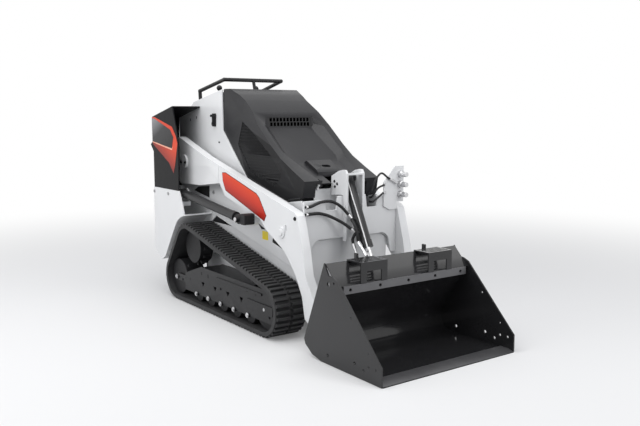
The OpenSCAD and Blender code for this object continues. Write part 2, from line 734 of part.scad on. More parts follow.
// Tower: two deep plates welded to the cross plate, with a strap over them and a plate behind.
module tilt_tower() {
  tower = [[cross_x1, cross_z[0] - 22], [tower_x[1], cross_z[0] - 22], [tower_x[1], 956],
    [tower_x[1] - 14, 977],
    [cross_x1, 977], [cross_x0 - 29, 970], [tower_x[0] + 4, 935], [tower_x[0], 822],
      [cross_x0 - 1, cross_z[1] + 4],
    [cross_x1, cross_z[1] + 4]];
  color(white) {
    for (s = [0, 1]) side(s == 1) slab(tower, tower_y, tower_y + tower_t);
    block([tower_x[1] - 38, -tower_y, 946], [tower_x[1], tower_y, 956]);
    block([tower_x[0] + 9, -tower_y, 832], [tower_x[0] + 17, tower_y, 930]);
    rod_y([tilt_top_x, tilt_top_z], tilt_pin_r, -tower_y - 1, tower_y + 1);
  }
}

// Tilt hoses from the right arm down to the barrel's ports. Each is a tube swept along a smooth line.

hose_r = 9;
hose_sides = 10;
hose_steps = 4;
// Places of the ports along the tilt barrel, and how far they stand out
port_x = [260, 345];
port_y = 44;
// Each hose bends through points [x, share of the way from the port to the arm, z]
hose_bends = [
  [[470, 1, 779], [470, 0.89, 782], [470, 0.64, 802], [477, 0.39, 800], [492, 0.19, 766], [512, 0.07, 722]],
  [[470, 1, 737], [470, 0.89, 738], [470, 0.69, 737], [480, 0.45, 716], [513, 0.22, 678], [543, 0.08, 642]]
];
hose_near = -port_y - 9;
hose_far = -arm_y0 + 9;

// A point between b and c on the smooth line through a, b, c, d
function smooth(a, b, c, d, t) =
  0.5 * (2 * b + (c - a) * t + (2 * a - 5 * b + 4 * c - d) * t * t + (3 * b - a - 3 * c + d) * t * t * t);
function smooth_line(p, n) =
  let (m = len(p) - 1)
  concat([for (i = [0:m - 1], k = [0:n - 1])
    smooth(p[max(i - 1, 0)], p[i], p[i + 1], p[min(i + 2, m)], k / n)], [p[m]]);
function unit(v) = v / norm(v);
function across(v) = unit(cross(v, abs(v[2]) < 0.9 * norm(v) ? [0, 0, 1] : [1, 0, 0]));
// The side direction of each ring, carried on from the ring before it
function carry(side_was, along_now) = unit(side_was - (side_was * along_now) * along_now);
function sides_of(dirs, i) = i == 0 ? across(dirs[0]) : carry(sides_of(dirs, i - 1), dirs[i]);

module swept_tube(p, r, n) {
  m = len(p) - 1;
  dirs = [for (i = [0:m]) unit(p[min(i + 1, m)] - p[max(i - 1, 0)])];
  rings = [for (i = [0:m]) let (u = sides_of(dirs, i), v = cross(dirs[i], u))
    for (k = [0:n - 1]) p[i] + r * (cos(360 * k / n) * u + sin(360 * k / n) * v)];
  walls = [for (i = [0:m - 1], k = [0:n - 1]) let (k1 = (k + 1) % n)
    [i * n + k, (i + 1) * n + k, (i + 1) * n + k1, i * n + k1]];
  polyhedron(rings, concat([[for (k = [0:n - 1]) k]], walls, [[for (k = [n - 1:-1:0]) m * n + k]]));
}

// Centre line of hose i: straight out of the arm's face, bent through its points and straight into the port
function hose_line(i) =
  let (port = [tilt_top_x, tilt_top_z] + port_x[i] * [cos(tilt_a), sin(tilt_a)], start = hose_bends[i][0],
    bends = [for (q = hose_bends[i]) [q[0], hose_near + q[1] * (hose_far - hose_near), q[2]]])
  concat([[start[0], -arm_y0 + 0.6, start[2]]],
    smooth_line(concat(bends, [[port[0], hose_near, port[1]]]), hose_steps),
      [[port[0], -port_y - 0.6, port[1]]]);

module tilt_hoses() {
  color(black) for (i = [0, 1]) swept_tube(hose_line(i), hose_r, hose_sides);
}

// Couplers: a bracket on the left arm with three quick couplers that point forward.

coupler_n = 3;
coupler_x0 = cross_x1 + 2;
coupler_x1 = coupler_x0 + 8;

module aux_couplers() {
  color(white) slab_x([[arm_y0 - 107, 742], [arm_y0 - 62, 720], [arm_y0, 720], [arm_y0, 765],
    [arm_y1 - 4, 765],
    [arm_y1 - 4, 985], [arm_y0 - 20, 985], [arm_y0 - 62, 940], [arm_y0 - 107, 890]], coupler_x0, coupler_x1);
  color(steel) for (i = [0:coupler_n - 1]) {
    rod_x([0, arm_y0 + 22, 810 + i * 62], 22, coupler_x1, coupler_x1 + 22);
    rod_x([0, arm_y0 + 22, 810 + i * 62], 15, coupler_x1 + 20, coupler_x1 + 62);
    rod_x([0, arm_y0 + 22, 810 + i * 62], 12, coupler_x0 - 34, coupler_x0);
  }
}

// Cylinders. Each is drawn along +X from its own pin and turned to its resting line.

lift_rest = [lift_eye_x - lift_base_x, lift_eye_z - lift_base_z];
lift_a = atan2(lift_rest[1], lift_rest[0]);
tilt_rest = [tilt_low_x - tilt_top_x, tilt_low_z - tilt_top_z];
tilt_a = atan2(tilt_rest[1], tilt_rest[0]);
rod_gap = 0.05;

module along(p, y, a) {
  translate([p[0], y, p[1]]) rotate([0, -a, 0]) children();
}

// Barrel with a bored gland and an eye at its rear end.
module barrel(r, l, rod_r, eye_r, eye_w, pin_r) {
  difference() {
    union() {
      rod_y([0, 0], eye_r, -eye_w / 2, eye_w / 2);
      rotate([0, 90, 0]) cylinder(r = r, h = l);
      translate([l - 40, 0, 0]) rotate([0, 90, 0]) cylinder(r = r + 3, h = 40);
    }
    translate([eye_r + 14, 0, 0]) rotate([0, 90, 0]) cylinder(r = r - 6, h = l - eye_r - 50);
    translate([l - 60, 0, 0]) rotate([0, 90, 0]) cylinder(r = rod_r + rod_gap, h = 70);
    rod_y([0, 0], pin_r + pin_gap, -eye_w, eye_w);
  }
}

// Rod with an eye and a pin at x = 0, reaching back by l.
module piston_rod(r, l, eye_r, eye_w, pin_w) {
  translate([-l, 0, 0]) rotate([0, 90, 0]) cylinder(r = r, h = l);
  rod_y([0, 0], eye_r, -eye_w / 2, eye_w / 2);
  rod_y([0, 0], eye_r - 12, -pin_w / 2, pin_w / 2);
}

lift_eye_w = 50;
lift_eye_r = 30;
lift_barrel_l = norm(lift_rest) - lift_eye_r - lift_gland_gap;
lift_pin_r = 15;
tilt_pin_r = 14;

module lift_barrel(right) {
  color(black) side(right) along([lift_base_x, lift_base_z], lift_y, lift_a)
    barrel(lift_barrel_r, lift_barrel_l, lift_rod_r, lift_pin_r + 12, lift_eye_w, lift_pin_r);
}

module lift_rod(right) {
  color(steel) side(right) along([lift_eye_x, lift_eye_z], lift_y, lift_a)
    piston_rod(lift_rod_r, lift_rod_l, lift_eye_r, lift_eye_w, 2 * (lift_y - arm_y1 - 0.6));
}

module tilt_barrel() {
  color(black) along([tilt_top_x, tilt_top_z], 0, tilt_a) {
    barrel(tilt_barrel_r, tilt_barrel_l, tilt_rod_r, tilt_pin_r + 12, 2 * tower_y - 10, tilt_pin_r);
    for (x = port_x) rod_y([x, 0], 10, -port_y, 4 - tilt_barrel_r);
  }
}

module tilt_rod() {
  color(steel) along([tilt_low_x, tilt_low_z], 0, tilt_a) piston_rod(tilt_rod_r, tilt_rod_l, 30, 52, 60);
}

// Bucket: a bent sheet between two side plates, with a cutting edge along its front.

lip_x = edge_x - 360;
lip_z = 427;
bend_c = [edge_x - 468, bucket_bend_r];
back_top = [lip_x - 4, lip_z];
flange_top = [edge_x - 469, 530];
back_d = back_top - bend_c;
function back_angle(r) = atan2(back_d[1], back_d[0]) + acos(r / norm(back_d));
bend_out = arc(bend_c, bucket_bend_r, 270, back_angle(bucket_bend_r), 12);
bend_in = arc(bend_c, bucket_bend_r - bucket_t, back_angle(bucket_bend_r - bucket_t), 270, 12);
// Along the underside, up the back to the flange's top, then down the inside
sheet_outline = concat([[edge_x, 0]], bend_out,
  [back_top, flange_top, flange_top + [bucket_t, 0], back_top + [bucket_t, 0]], bend_in,
  [[edge_x - 20, bucket_t], [edge_x, 2]]);
cheek_outline = [[edge_x - 3, 2], [edge_x - 3, 98], [edge_x - 352, 455], [edge_x - 393, 472],
  [edge_x - 430, 474],
  flange_top + [0, 4], [edge_x - 652, 90], [edge_x - 640, 62], [edge_x - 577, 20], [edge_x - 497, 2]];

module bucket_shell() {
  y = bucket_y;
  color(black) {
    slab(sheet_outline, -y + bucket_t - 1, y - bucket_t + 1);
    for (s = [0, 1]) side(s == 1) slab(cheek_outline, y - bucket_t, y);
  }
}

lip_pitch = (bucket_y - 78) / 2;
lip_hole_r = 9;

module bucket_lip() {
  color(steel) difference() {
    block([lip_x + 6, -bucket_y + 34, lip_z - 42], [lip_x + 16, bucket_y - 34, lip_z]);
    for (i = [-2:2]) rod_x([0, i * lip_pitch, lip_z - 21], lip_hole_r, lip_x, lip_x + 20);
  }
}

// Steps: a tread on top of the bucket's back with a folded front leg.
step_t = 8;
step_top = flange_top[1] + seat + step_t;
step_x1 = lip_x + 6 + step_t;
step_y = [body_y - 127, body_y + 53];

module bucket_steps() {
  tread = [flange_top + [0, seat], [step_x1 - step_t, flange_top[1] + seat], [step_x1 - step_t, lip_z + seat],
    [step_x1, lip_z + seat], [step_x1, step_top], [flange_top[0], step_top]];
  color(black) for (s = [0, 1]) side(s == 1) difference() {
    slab(tread, step_y[0], step_y[1]);
    block([step_x1 - 30, step_y[0] + 40, lip_z - 10], [step_x1 + 5, step_y[1] - 40, step_top - 50]);
    for (i = [0:3])
      block([flange_top[0] + 18 + i * 26, step_y[0] + 15, step_top - 20],
        [flange_top[0] + 30 + i * 26, step_y[1] - 15, step_top + 5]);
  }
}

// Quick attach: a slanted plate behind the bucket with the ears of the arms and of the tilt rod.

plate_a = 68;       // slope of the plate
plate_w = 12;       // thickness of the plate
plate_up = [cos(plate_a), sin(plate_a)];
plate_out = [sin(plate_a), -cos(plate_a)];
plate_low = 46;     // how far the plate reaches below its touch on the bucket's bend
// The point where the three lines p + u d and q + v e meet, as the length u
function meet(p, d, q, e) = ((q[0] - p[0]) * e[1] - (q[1] - p[1]) * e[0]) / (d[0] * e[1] - d[1] * e[0]);
plate_p = bend_c - (bucket_bend_r + seat + plate_w) * plate_out - plate_low * plate_up;
plate_l = meet(plate_p + plate_w * plate_out, plate_up, back_top, flange_top - back_top) - seat;
// The point at length u up the plate and v in front of its rear face
function on_plate(u, v) = plate_p + u * plate_up + v * plate_out;
ear_y1 = arm_y0 - 6;
ear_t = 20;
tilt_ear_y = 31;

module attach_plate() {
  window = [on_plate(110, -1), on_plate(110, plate_w + 1), on_plate(340, plate_w + 1), on_plate(340, -1)];
  color(black) {
    difference() {
      slab([on_plate(0, 0), on_plate(0, plate_w), on_plate(plate_l, plate_w), on_plate(plate_l, 0)],
        -arm_y1 - 30, arm_y1 + 30);
      slab(window, -tilt_ear_y - 6, tilt_ear_y + 6);
    }
    for (s = [0, 1]) side(s == 1) {
      slab(concat(arc([foot_x, foot_z], 44, 100, 260, 8), [on_plate(4, 2), on_plate(190, 2)]),
        ear_y1 - ear_t, ear_y1);
      rod_y([foot_x, foot_z], foot_pin_r, ear_y1 - 2, arm_y1 + 5);
      slab(concat([on_plate(130, 2), on_plate(330, 2)], arc([tilt_low_x, tilt_low_z], 34, 100, 240, 8)),
        tilt_ear_y + 6, tilt_ear_y + 20);
    }
  }
}

module latch_levers() {
  lever = [on_plate(290, 0), on_plate(345, 0), on_plate(400, -36), on_plate(462, -64), on_plate(456, -84),
    on_plate(380, -52)];
  y = (step_y[0] + step_y[1]) / 2;
  color(black) for (s = [0, 1]) side(s == 1) slab(lever, y, y + 16);
}

chassis_frame();
engine_block();
side_panel(true);  // side_panel_right
side_panel(false);  // side_panel_left
rear_pod(true);  // rear_pod_right
rear_pod(false);  // rear_pod_left
wing(true);  // wing_right
wing(false);  // wing_left
console();
thigh_pad();
controls();
grab_bar();
track_frame(true);  // track_frame_right
track_frame(false);  // track_frame_left
rollers(true);  // rollers_right
rollers(false);  // rollers_left
idlers(true);  // idlers_right
idlers(false);  // idlers_left
sprocket(true);  // sprocket_right
sprocket(false);  // sprocket_left
track(true);  // track_right
track(false);  // track_left
platform();
hood();
hood_grille();
arm(true);  // arm_right
arm(false);  // arm_left
arm_cross();
tilt_tower();
tilt_hoses();
aux_couplers();
lift_barrel(true);  // lift_barrel_right
lift_barrel(false);  // lift_barrel_left
lift_rod(true);  // lift_rod_right
lift_rod(false);  // lift_rod_left
tilt_barrel();
tilt_rod();
attach_plate();
latch_levers();
bucket_shell();
bucket_lip();
bucket_steps();
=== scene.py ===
# Stand-on mini track loader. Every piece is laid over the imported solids, in metres, in their own frame.
import json
import math

import bmesh
import bpy
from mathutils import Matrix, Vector
from mathutils.bvhtree import BVHTree

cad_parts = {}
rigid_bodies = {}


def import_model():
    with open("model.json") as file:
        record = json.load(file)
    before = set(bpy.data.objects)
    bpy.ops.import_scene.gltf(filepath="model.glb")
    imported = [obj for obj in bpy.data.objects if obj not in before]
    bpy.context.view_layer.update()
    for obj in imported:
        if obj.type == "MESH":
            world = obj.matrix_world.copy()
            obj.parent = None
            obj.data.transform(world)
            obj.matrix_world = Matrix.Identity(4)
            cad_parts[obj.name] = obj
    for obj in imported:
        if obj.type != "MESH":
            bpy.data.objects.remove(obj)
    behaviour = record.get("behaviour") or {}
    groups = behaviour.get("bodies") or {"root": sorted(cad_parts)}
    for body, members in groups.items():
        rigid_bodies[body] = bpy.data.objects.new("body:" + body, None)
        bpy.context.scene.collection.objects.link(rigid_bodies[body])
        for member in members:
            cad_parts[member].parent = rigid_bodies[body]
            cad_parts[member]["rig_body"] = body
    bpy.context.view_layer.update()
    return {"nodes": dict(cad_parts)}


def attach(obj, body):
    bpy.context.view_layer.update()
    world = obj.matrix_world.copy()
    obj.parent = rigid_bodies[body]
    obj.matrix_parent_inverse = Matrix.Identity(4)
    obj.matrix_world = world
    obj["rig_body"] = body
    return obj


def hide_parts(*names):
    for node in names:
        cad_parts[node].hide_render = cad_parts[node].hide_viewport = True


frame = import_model()
scene = bpy.context.scene

# Studio. A pale sweep under a large overhead softbox, with a strip light for the gloss on the black pieces.
# The camera stands in front of the machine's right corner, a little above its deck.

scene.view_settings.view_transform = "Standard"
CAMERA_AT = Vector((3.925, -2.735, 1.30))
CAMERA_TURN = math.radians(54.211)
CAMERA_DIP = math.radians(7.49)
look = Vector((-math.sin(CAMERA_TURN) * math.cos(CAMERA_DIP), math.cos(CAMERA_TURN) * math.cos(CAMERA_DIP),
               -math.sin(CAMERA_DIP)))
camera = bpy.data.objects.new("camera", bpy.data.cameras.new("camera"))
camera.data.sensor_width = 36.0
camera.data.lens = 42.40
camera.location = CAMERA_AT
camera.rotation_mode = "QUATERNION"
camera.rotation_quaternion = look.to_track_quat("-Z", "Y")
scene.collection.objects.link(camera)
scene.camera = camera


def softbox(name, at, aim, size, power):
    """An area light of a given width and height, turned to a point."""
    data = bpy.data.lights.new(name, "AREA")
    data.shape = "RECTANGLE"
    data.size, data.size_y = size
    data.energy = power
    lamp = bpy.data.objects.new(name, data)
    lamp.location = at
    lamp.rotation_mode = "QUATERNION"
    lamp.rotation_quaternion = (Vector(aim) - Vector(at)).to_track_quat("-Z", "Y")
    scene.collection.objects.link(lamp)


softbox("overhead", (0.6, -0.8, 4.6), (0.0, 0.0, 0.5), (5.0, 4.0), 165)
softbox("side_strip", (-0.6, -4.2, 2.4), (0.0, 0.0, 0.6), (4.0, 1.6), 62)
softbox("front_strip", (4.6, 1.6, 2.6), (0.4, 0.0, 0.6), (1.6, 2.2), 46)


def seen_directly(nodes, links):
    """A number that is 1 for rays from the camera, a gloss or a glass, and 0 for the light on the object."""
    path = nodes.new("ShaderNodeLightPath")
    first = nodes.new("ShaderNodeMath")
    first.operation = "MAXIMUM"
    links.new(path.outputs["Is Camera Ray"], first.inputs[0])
    links.new(path.outputs["Is Glossy Ray"], first.inputs[1])
    both = nodes.new("ShaderNodeMath")
    both.operation = "MAXIMUM"
    links.new(first.outputs[0], both.inputs[0])
    links.new(path.outputs["Is Transmission Ray"], both.inputs[1])
    return both.outputs[0]


world = bpy.data.worlds.new("studio")
world.use_nodes = True
scene.world = world
sky = world.node_tree.nodes
sky.clear()
sky_links = world.node_tree.links
ambient = sky.new("ShaderNodeBackground")
ambient.inputs["Color"].default_value = (0.93, 0.95, 1.0, 1)
ambient.inputs["Strength"].default_value = 0.58
backdrop = sky.new("ShaderNodeBackground")
backdrop.inputs["Color"].default_value = (1, 1, 1, 1)
backdrop.inputs["Strength"].default_value = 1.0
sky_mix = sky.new("ShaderNodeMixShader")
sky_out = sky.new("ShaderNodeOutputWorld")
sky_links.new(seen_directly(sky, sky_links), sky_mix.inputs[0])
sky_links.new(ambient.outputs[0], sky_mix.inputs[1])
sky_links.new(backdrop.outputs[0], sky_mix.inputs[2])
sky_links.new(sky_mix.outputs[0], sky_out.inputs[0])

FLOOR_HALF = 40.0
floor_mesh = bpy.data.meshes.new("floor")
floor_mesh.from_pydata([(-FLOOR_HALF, -FLOOR_HALF, 0), (FLOOR_HALF, -FLOOR_HALF, 0),
                        (FLOOR_HALF, FLOOR_HALF, 0), (-FLOOR_HALF, FLOOR_HALF, 0)], [], [(0, 1, 2, 3)])
floor = bpy.data.objects.new("floor", floor_mesh)
scene.collection.objects.link(floor)
sweep = bpy.data.materials.new("studio_sweep")
sweep.use_nodes = True
nodes, links = sweep.node_tree.nodes, sweep.node_tree.links
nodes.clear()
matt = nodes.new("ShaderNodeBsdfDiffuse")
matt.inputs["Color"].default_value = (0.60, 0.60, 0.60, 1)
lift = nodes.new("ShaderNodeEmission")
lift.inputs["Color"].default_value = (1, 1, 1, 1)
share = nodes.new("ShaderNodeMath")
share.operation = "MULTIPLY"
share.inputs[1].default_value = 0.12
seen = seen_directly(nodes, links)
links.new(seen, share.inputs[0])
links.new(share.outputs[0], lift.inputs["Strength"])
near = nodes.new("ShaderNodeAddShader")
links.new(matt.outputs[0], near.inputs[0])
links.new(lift.outputs[0], near.inputs[1])
# away from the machine the floor fades into the white backdrop, so that no horizon shows
where_on = nodes.new("ShaderNodeTexCoord")
apart = nodes.new("ShaderNodeVectorMath")
apart.operation = "LENGTH"
links.new(where_on.outputs["Object"], apart.inputs[0])
fade = nodes.new("ShaderNodeMapRange")
fade.interpolation_type = "SMOOTHSTEP"
fade.inputs["From Min"].default_value = 1.2
fade.inputs["From Max"].default_value = 6.5
links.new(apart.outputs["Value"], fade.inputs["Value"])
shown = nodes.new("ShaderNodeMath")
shown.operation = "MULTIPLY"
links.new(fade.outputs[0], shown.inputs[0])
links.new(seen, shown.inputs[1])
plain = nodes.new("ShaderNodeEmission")
plain.inputs["Color"].default_value = (1, 1, 1, 1)
both = nodes.new("ShaderNodeMixShader")
links.new(shown.outputs[0], both.inputs[0])
links.new(near.outputs[0], both.inputs[1])
links.new(plain.outputs[0], both.inputs[2])
out = nodes.new("ShaderNodeOutputMaterial")
links.new(both.outputs[0], out.inputs[0])
floor_mesh.materials.append(sweep)

# Tracks. Each is one endless rubber belt round two idlers and the raised drive sprocket. The lugs are moulded
# bars across the belt, parted along its middle, and the belt's edges stand a little proud.

TRACK_Y0, TRACK_Y1 = 0.292, 0.508
BELT = 0.022
LUG_H = 0.014
LOOP = [((0.250, 0.165), 0.151), ((-0.740, 0.392), 0.154), ((-0.920, 0.160), 0.146)]
LUGS = 96
BELT_STEPS = 384


def loop_points(circles, steps):
    """Evenly spaced (point, outward normal) pairs on the belt that runs round three circles."""
    n = len(circles)
    normals = []
    for i in range(n):
        (c0, r0), (c1, r1) = circles[i], circles[(i + 1) % n]
        dx, dz = c1[0] - c0[0], c1[1] - c0[1]
        normals.append(math.atan2(dz, dx) - math.acos((r0 - r1) / math.hypot(dx, dz)))
    parts = []
    for i in range(n):
        (c, r), (c1, r1) = circles[i], circles[(i + 1) % n]
        start = normals[i - 1]
        turn = (normals[i] - start) % (2 * math.pi)
        parts.append(("arc", c, r, start, r * turn))
        run = math.sqrt((c1[0] - c[0]) ** 2 + (c1[1] - c[1]) ** 2 - (r - r1) ** 2)
        parts.append(("run", c, r, normals[i], run))
    total = sum(p[4] for p in parts)
    found = []
    for k in range(steps):
        s = total * k / steps
        for kind, c, r, a, length in parts:
            if s <= length:
                break
            s -= length
        if kind == "arc":
            a = a + s / r
            s = 0.0
        out_x, out_z = math.cos(a), math.sin(a)
        found.append(((c[0] + r * out_x - s * out_z, c[1] + r * out_z + s * out_x), (out_x, out_z)))
    return found


def finish(name, colour, rough, metal=0.0, coat=0.0, mottle=0.06, grain=900.0, bump=0.02, wear=0.05, sheen=0.5):
    """A finish with slow colour drift, uneven gloss and a fine surface grain, in object coordinates."""
    made = bpy.data.materials.new(name)
    made.use_nodes = True
    nodes, links = made.node_tree.nodes, made.node_tree.links
    nodes.clear()
    shader = nodes.new("ShaderNodeBsdfPrincipled")
    shader.inputs["Metallic"].default_value = metal
    shader.inputs["Specular IOR Level"].default_value = sheen
    shader.inputs["Coat Weight"].default_value = coat
    shader.inputs["Coat Roughness"].default_value = 0.08
    out = nodes.new("ShaderNodeOutputMaterial")
    links.new(shader.outputs[0], out.inputs[0])
    place = nodes.new("ShaderNodeTexCoord")
    drift = nodes.new("ShaderNodeTexNoise")
    drift.inputs["Scale"].default_value = 6.0
    drift.inputs["Detail"].default_value = 6.0
    links.new(place.outputs["Object"], drift.inputs["Vector"])
    ramp = nodes.new("ShaderNodeValToRGB")
    ramp.color_ramp.elements[0].position = 0.3
    ramp.color_ramp.elements[1].position = 0.7
    ramp.color_ramp.elements[0].color = [c * (1 - mottle) for c in colour] + [1]
    ramp.color_ramp.elements[1].color = [min(c * (1 + mottle), 1) for c in colour] + [1]
    links.new(drift.outputs["Fac"], ramp.inputs[0])
    links.new(ramp.outputs[0], shader.inputs["Base Color"])
    gloss = nodes.new("ShaderNodeMapRange")
    gloss.inputs["To Min"].default_value = max(rough - wear, 0.03)
    gloss.inputs["To Max"].default_value = min(rough + wear, 1.0)
    patches = nodes.new("ShaderNodeTexNoise")
    patches.inputs["Scale"].default_value = 35.0
    patches.inputs["Detail"].default_value = 3.0
    links.new(place.outputs["Object"], patches.inputs["Vector"])
    links.new(patches.outputs["Fac"], gloss.inputs["Value"])
    links.new(gloss.outputs[0], shader.inputs["Roughness"])
    fine = nodes.new("ShaderNodeTexNoise")
    fine.inputs["Scale"].default_value = grain
    fine.inputs["Detail"].default_value = 2.0
    links.new(place.outputs["Object"], fine.inputs["Vector"])
    skin = nodes.new("ShaderNodeBump")
    skin.inputs["Strength"].default_value = bump
    skin.inputs["Distance"].default_value = 0.001
    links.new(fine.outputs["Fac"], skin.inputs["Height"])
    links.new(skin.outputs[0], shader.inputs["Normal"])
    return made


def piece_of(name, mesh, paint, body, slot, *stands_for):
    """Shows a finished mesh as a piece that rides on a body and stands for CAD nodes, if any are named."""
    made = bpy.data.objects.new(name, mesh)
    scene.collection.objects.link(made)
    mesh.materials.clear()
    mesh.materials.append(paint)
    mesh.shade_smooth()
    mesh.set_sharp_from_angle(angle=math.radians(34))
    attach(made, body)
    if stands_for:
        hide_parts(*stands_for)
    return made


def node_tree(name, sockets):
    """An empty geometry tree with a geometry in and out and named inputs (label, kind, value)."""
    tree = bpy.data.node_groups.new(name, "GeometryNodeTree")
    tree.interface.new_socket("Geometry", in_out="INPUT", socket_type="NodeSocketGeometry")
    for label, kind, value in sockets:
        socket = tree.interface.new_socket(label, in_out="INPUT", socket_type=kind)
        if value is not None:
            socket.default_value = value
    tree.interface.new_socket("Geometry", in_out="OUTPUT", socket_type="NodeSocketGeometry")
    return tree, tree.nodes.new("NodeGroupInput"), tree.nodes.new("NodeGroupOutput")


def grown(tree, base, values):
    """The plain mesh that a tree makes from a base object, which is then removed."""
    scene.collection.objects.link(base)
    growth = base.modifiers.new("growth", "NODES")
    growth.node_group = tree
    for item in tree.interface.items_tree:
        if item.in_out == "INPUT" and item.name in values:
            growth[item.identifier] = values[item.name]
    bpy.context.view_layer.update()
    sheet = bpy.context.evaluated_depsgraph_get()
    mesh = bpy.data.meshes.new_from_object(base.evaluated_get(sheet), depsgraph=sheet)
    bpy.data.objects.remove(base)
    return mesh


def prism(corners, y0, y1):
    """Vertices and faces of an [x, z] outline carried from y0 to y1, as lists for a mesh."""
    n = len(corners)
    verts = [(x, y, z) for y in (y0, y1) for x, z in corners]
    area = sum(corners[i][0] * corners[(i + 1) % n][1] - corners[(i + 1) % n][0] * corners[i][1] for i in range(n))
    order = list(range(n)) if area > 0 else list(range(n))[::-1]
    faces = [tuple(order), tuple(n + k for k in reversed(order))]
    faces += [(order[(k + 1) % n], order[k], n + order[k], n + order[(k + 1) % n]) for k in range(n)]
    return verts, faces


def mesh_of(name, parts):
    """One mesh from several (vertices, faces) parts."""
    verts, faces = [], []
    for v, f in parts:
        faces += [tuple(i + len(verts) for i in face) for face in f]
        verts += v
    mesh = bpy.data.meshes.new(name)
    mesh.from_pydata(verts, [], faces)
    mesh.update()
    return mesh


def turned_part(profile, at, axis, sides=40):
    """A part turned from (radius, height) points about an axis through a point, closed where its radius is 0."""
    frame_of = Vector(axis).normalized().to_track_quat("Z", "X")
    verts, faces = [], []
    for radius, height in profile:
        for k in range(sides):
            a = 2 * math.pi * k / sides
            verts.append(tuple(Vector(at) + frame_of @ Vector((radius * math.cos(a), radius * math.sin(a), height))))
    for i in range(len(profile) - 1):
        for k in range(sides):
            k1 = (k + 1) % sides
            faces.append((i * sides + k, i * sides + k1, (i + 1) * sides + k1, (i + 1) * sides + k))
    faces.append(tuple(range(sides))[::-1])
    faces.append(tuple(range((len(profile) - 1) * sides, len(profile) * sides)))
    return verts, faces


def disc(at, axis, radius, height, edge=0.001):
    """A round plate on a face, with a small chamfer."""
    return turned_part([(radius, 0), (radius, height - edge), (radius - edge, height)], at, axis)


def tube(points, radius, sides=14):
    """A round tube along points, with flat ends."""
    line = [Vector(q) for q in points]
    n = len(line)
    dirs = [(line[min(i + 1, n - 1)] - line[max(i - 1, 0)]).normalized() for i in range(n)]
    across = dirs[0].orthogonal().normalized()
    verts, faces = [], []
    for q, d in zip(line, dirs):
        across = (across - across.dot(d) * d).normalized()
        up = d.cross(across)
        for k in range(sides):
            a = 2 * math.pi * k / sides
            verts.append(tuple(q + radius * (math.cos(a) * across + math.sin(a) * up)))
    for i in range(n - 1):
        for k in range(sides):
            k1 = (k + 1) % sides
            faces.append((i * sides + k, i * sides + k1, (i + 1) * sides + k1, (i + 1) * sides + k))
    faces.append(tuple(range(sides))[::-1])
    faces.append(tuple(range((n - 1) * sides, n * sides)))
    return verts, faces


def curve_through(points, steps=8):
    """Points on the smooth line through the given points."""
    line = [Vector(q) for q in points]
    m = len(line) - 1
    found = []
    for i in range(m):
        a, b, c, d = line[max(i - 1, 0)], line[i], line[i + 1], line[min(i + 2, m)]
        for k in range(steps):
            t = k / steps
            found.append(0.5 * (2 * b + (c - a) * t + (2 * a - 5 * b + 4 * c - d) * t ** 2
                                + (3 * b - a - 3 * c + d) * t ** 3))
    return [tuple(q) for q in found] + [tuple(line[m])]


def inset(outline, by):
    """A convex outline drawn in by a distance on every side."""
    n = len(outline)
    area = sum(outline[i][0] * outline[(i + 1) % n][1] - outline[(i + 1) % n][0] * outline[i][1] for i in range(n))
    hand = 1 if area > 0 else -1
    lines = []
    for i in range(n):
        (x0, z0), (x1, z1) = outline[i], outline[(i + 1) % n]
        size = math.hypot(x1 - x0, z1 - z0)
        nx, nz = -hand * (z1 - z0) / size, hand * (x1 - x0) / size
        lines.append((nx, nz, nx * x0 + nz * z0 + by))
    corners = []
    for i in range(n):
        (a, b, c), (d, e, f) = lines[i - 1], lines[i]
        size = a * e - b * d
        corners.append(((c * e - b * f) / size, (a * f - c * d) / size))
    return corners


def box(low, high, edge=0.0):
    """A box between two corners, with its upright edges cut at 45 degrees."""
    (x0, y0, z0), (x1, y1, z1) = low, high
    y0, y1 = min(y0, y1), max(y0, y1)
    outline = [(x0 + edge, z0), (x1 - edge, z0), (x1, z0 + edge), (x1, z1 - edge), (x1 - edge, z1), (x0 + edge, z1),
               (x0, z1 - edge), (x0, z0 + edge)] if edge else [(x0, z0), (x1, z0), (x1, z1), (x0, z1)]
    return prism(outline, y0, y1)


def both_sides(y0, y1, sign):
    """Two distances from the middle plane as a rising pair on one side of the machine."""
    return sorted((sign * y0, sign * y1))


SURFACES = {}


def landed(node, start, heading):
    """The point where a straight line from start first meets a CAD node, or None."""
    if node not in SURFACES:
        mesh = frame["nodes"][node].data
        SURFACES[node] = BVHTree.FromPolygons([tuple(v.co) for v in mesh.vertices],
                                              [tuple(face.vertices) for face in mesh.polygons])
    return SURFACES[node].ray_cast(Vector(start), Vector(heading).normalized())[0]


def shaded_across(made, heading, low, high, stops):
    """Gives a finish colours that change along a direction."""
    nodes, links = made.node_tree.nodes, made.node_tree.links
    place = nodes.new("ShaderNodeTexCoord")
    along = nodes.new("ShaderNodeVectorMath")
    along.operation = "DOT_PRODUCT"
    along.inputs[1].default_value = heading
    links.new(place.outputs["Object"], along.inputs[0])
    share = nodes.new("ShaderNodeMapRange")
    share.inputs["From Min"].default_value = low
    share.inputs["From Max"].default_value = high
    links.new(along.outputs["Value"], share.inputs["Value"])
    print_ramp = nodes.new("ShaderNodeValToRGB")
    for k, (at, colour) in enumerate(stops):
        stop = print_ramp.color_ramp.elements[k] if k < 2 else print_ramp.color_ramp.elements.new(at)
        stop.position = at
        stop.color = [*colour, 1]
    links.new(share.outputs[0], print_ramp.inputs[0])
    for link in list(made.node_tree.links):
        if link.to_socket.name == "Base Color":
            target = link.to_socket
    links.new(print_ramp.outputs[0], target)
    return made


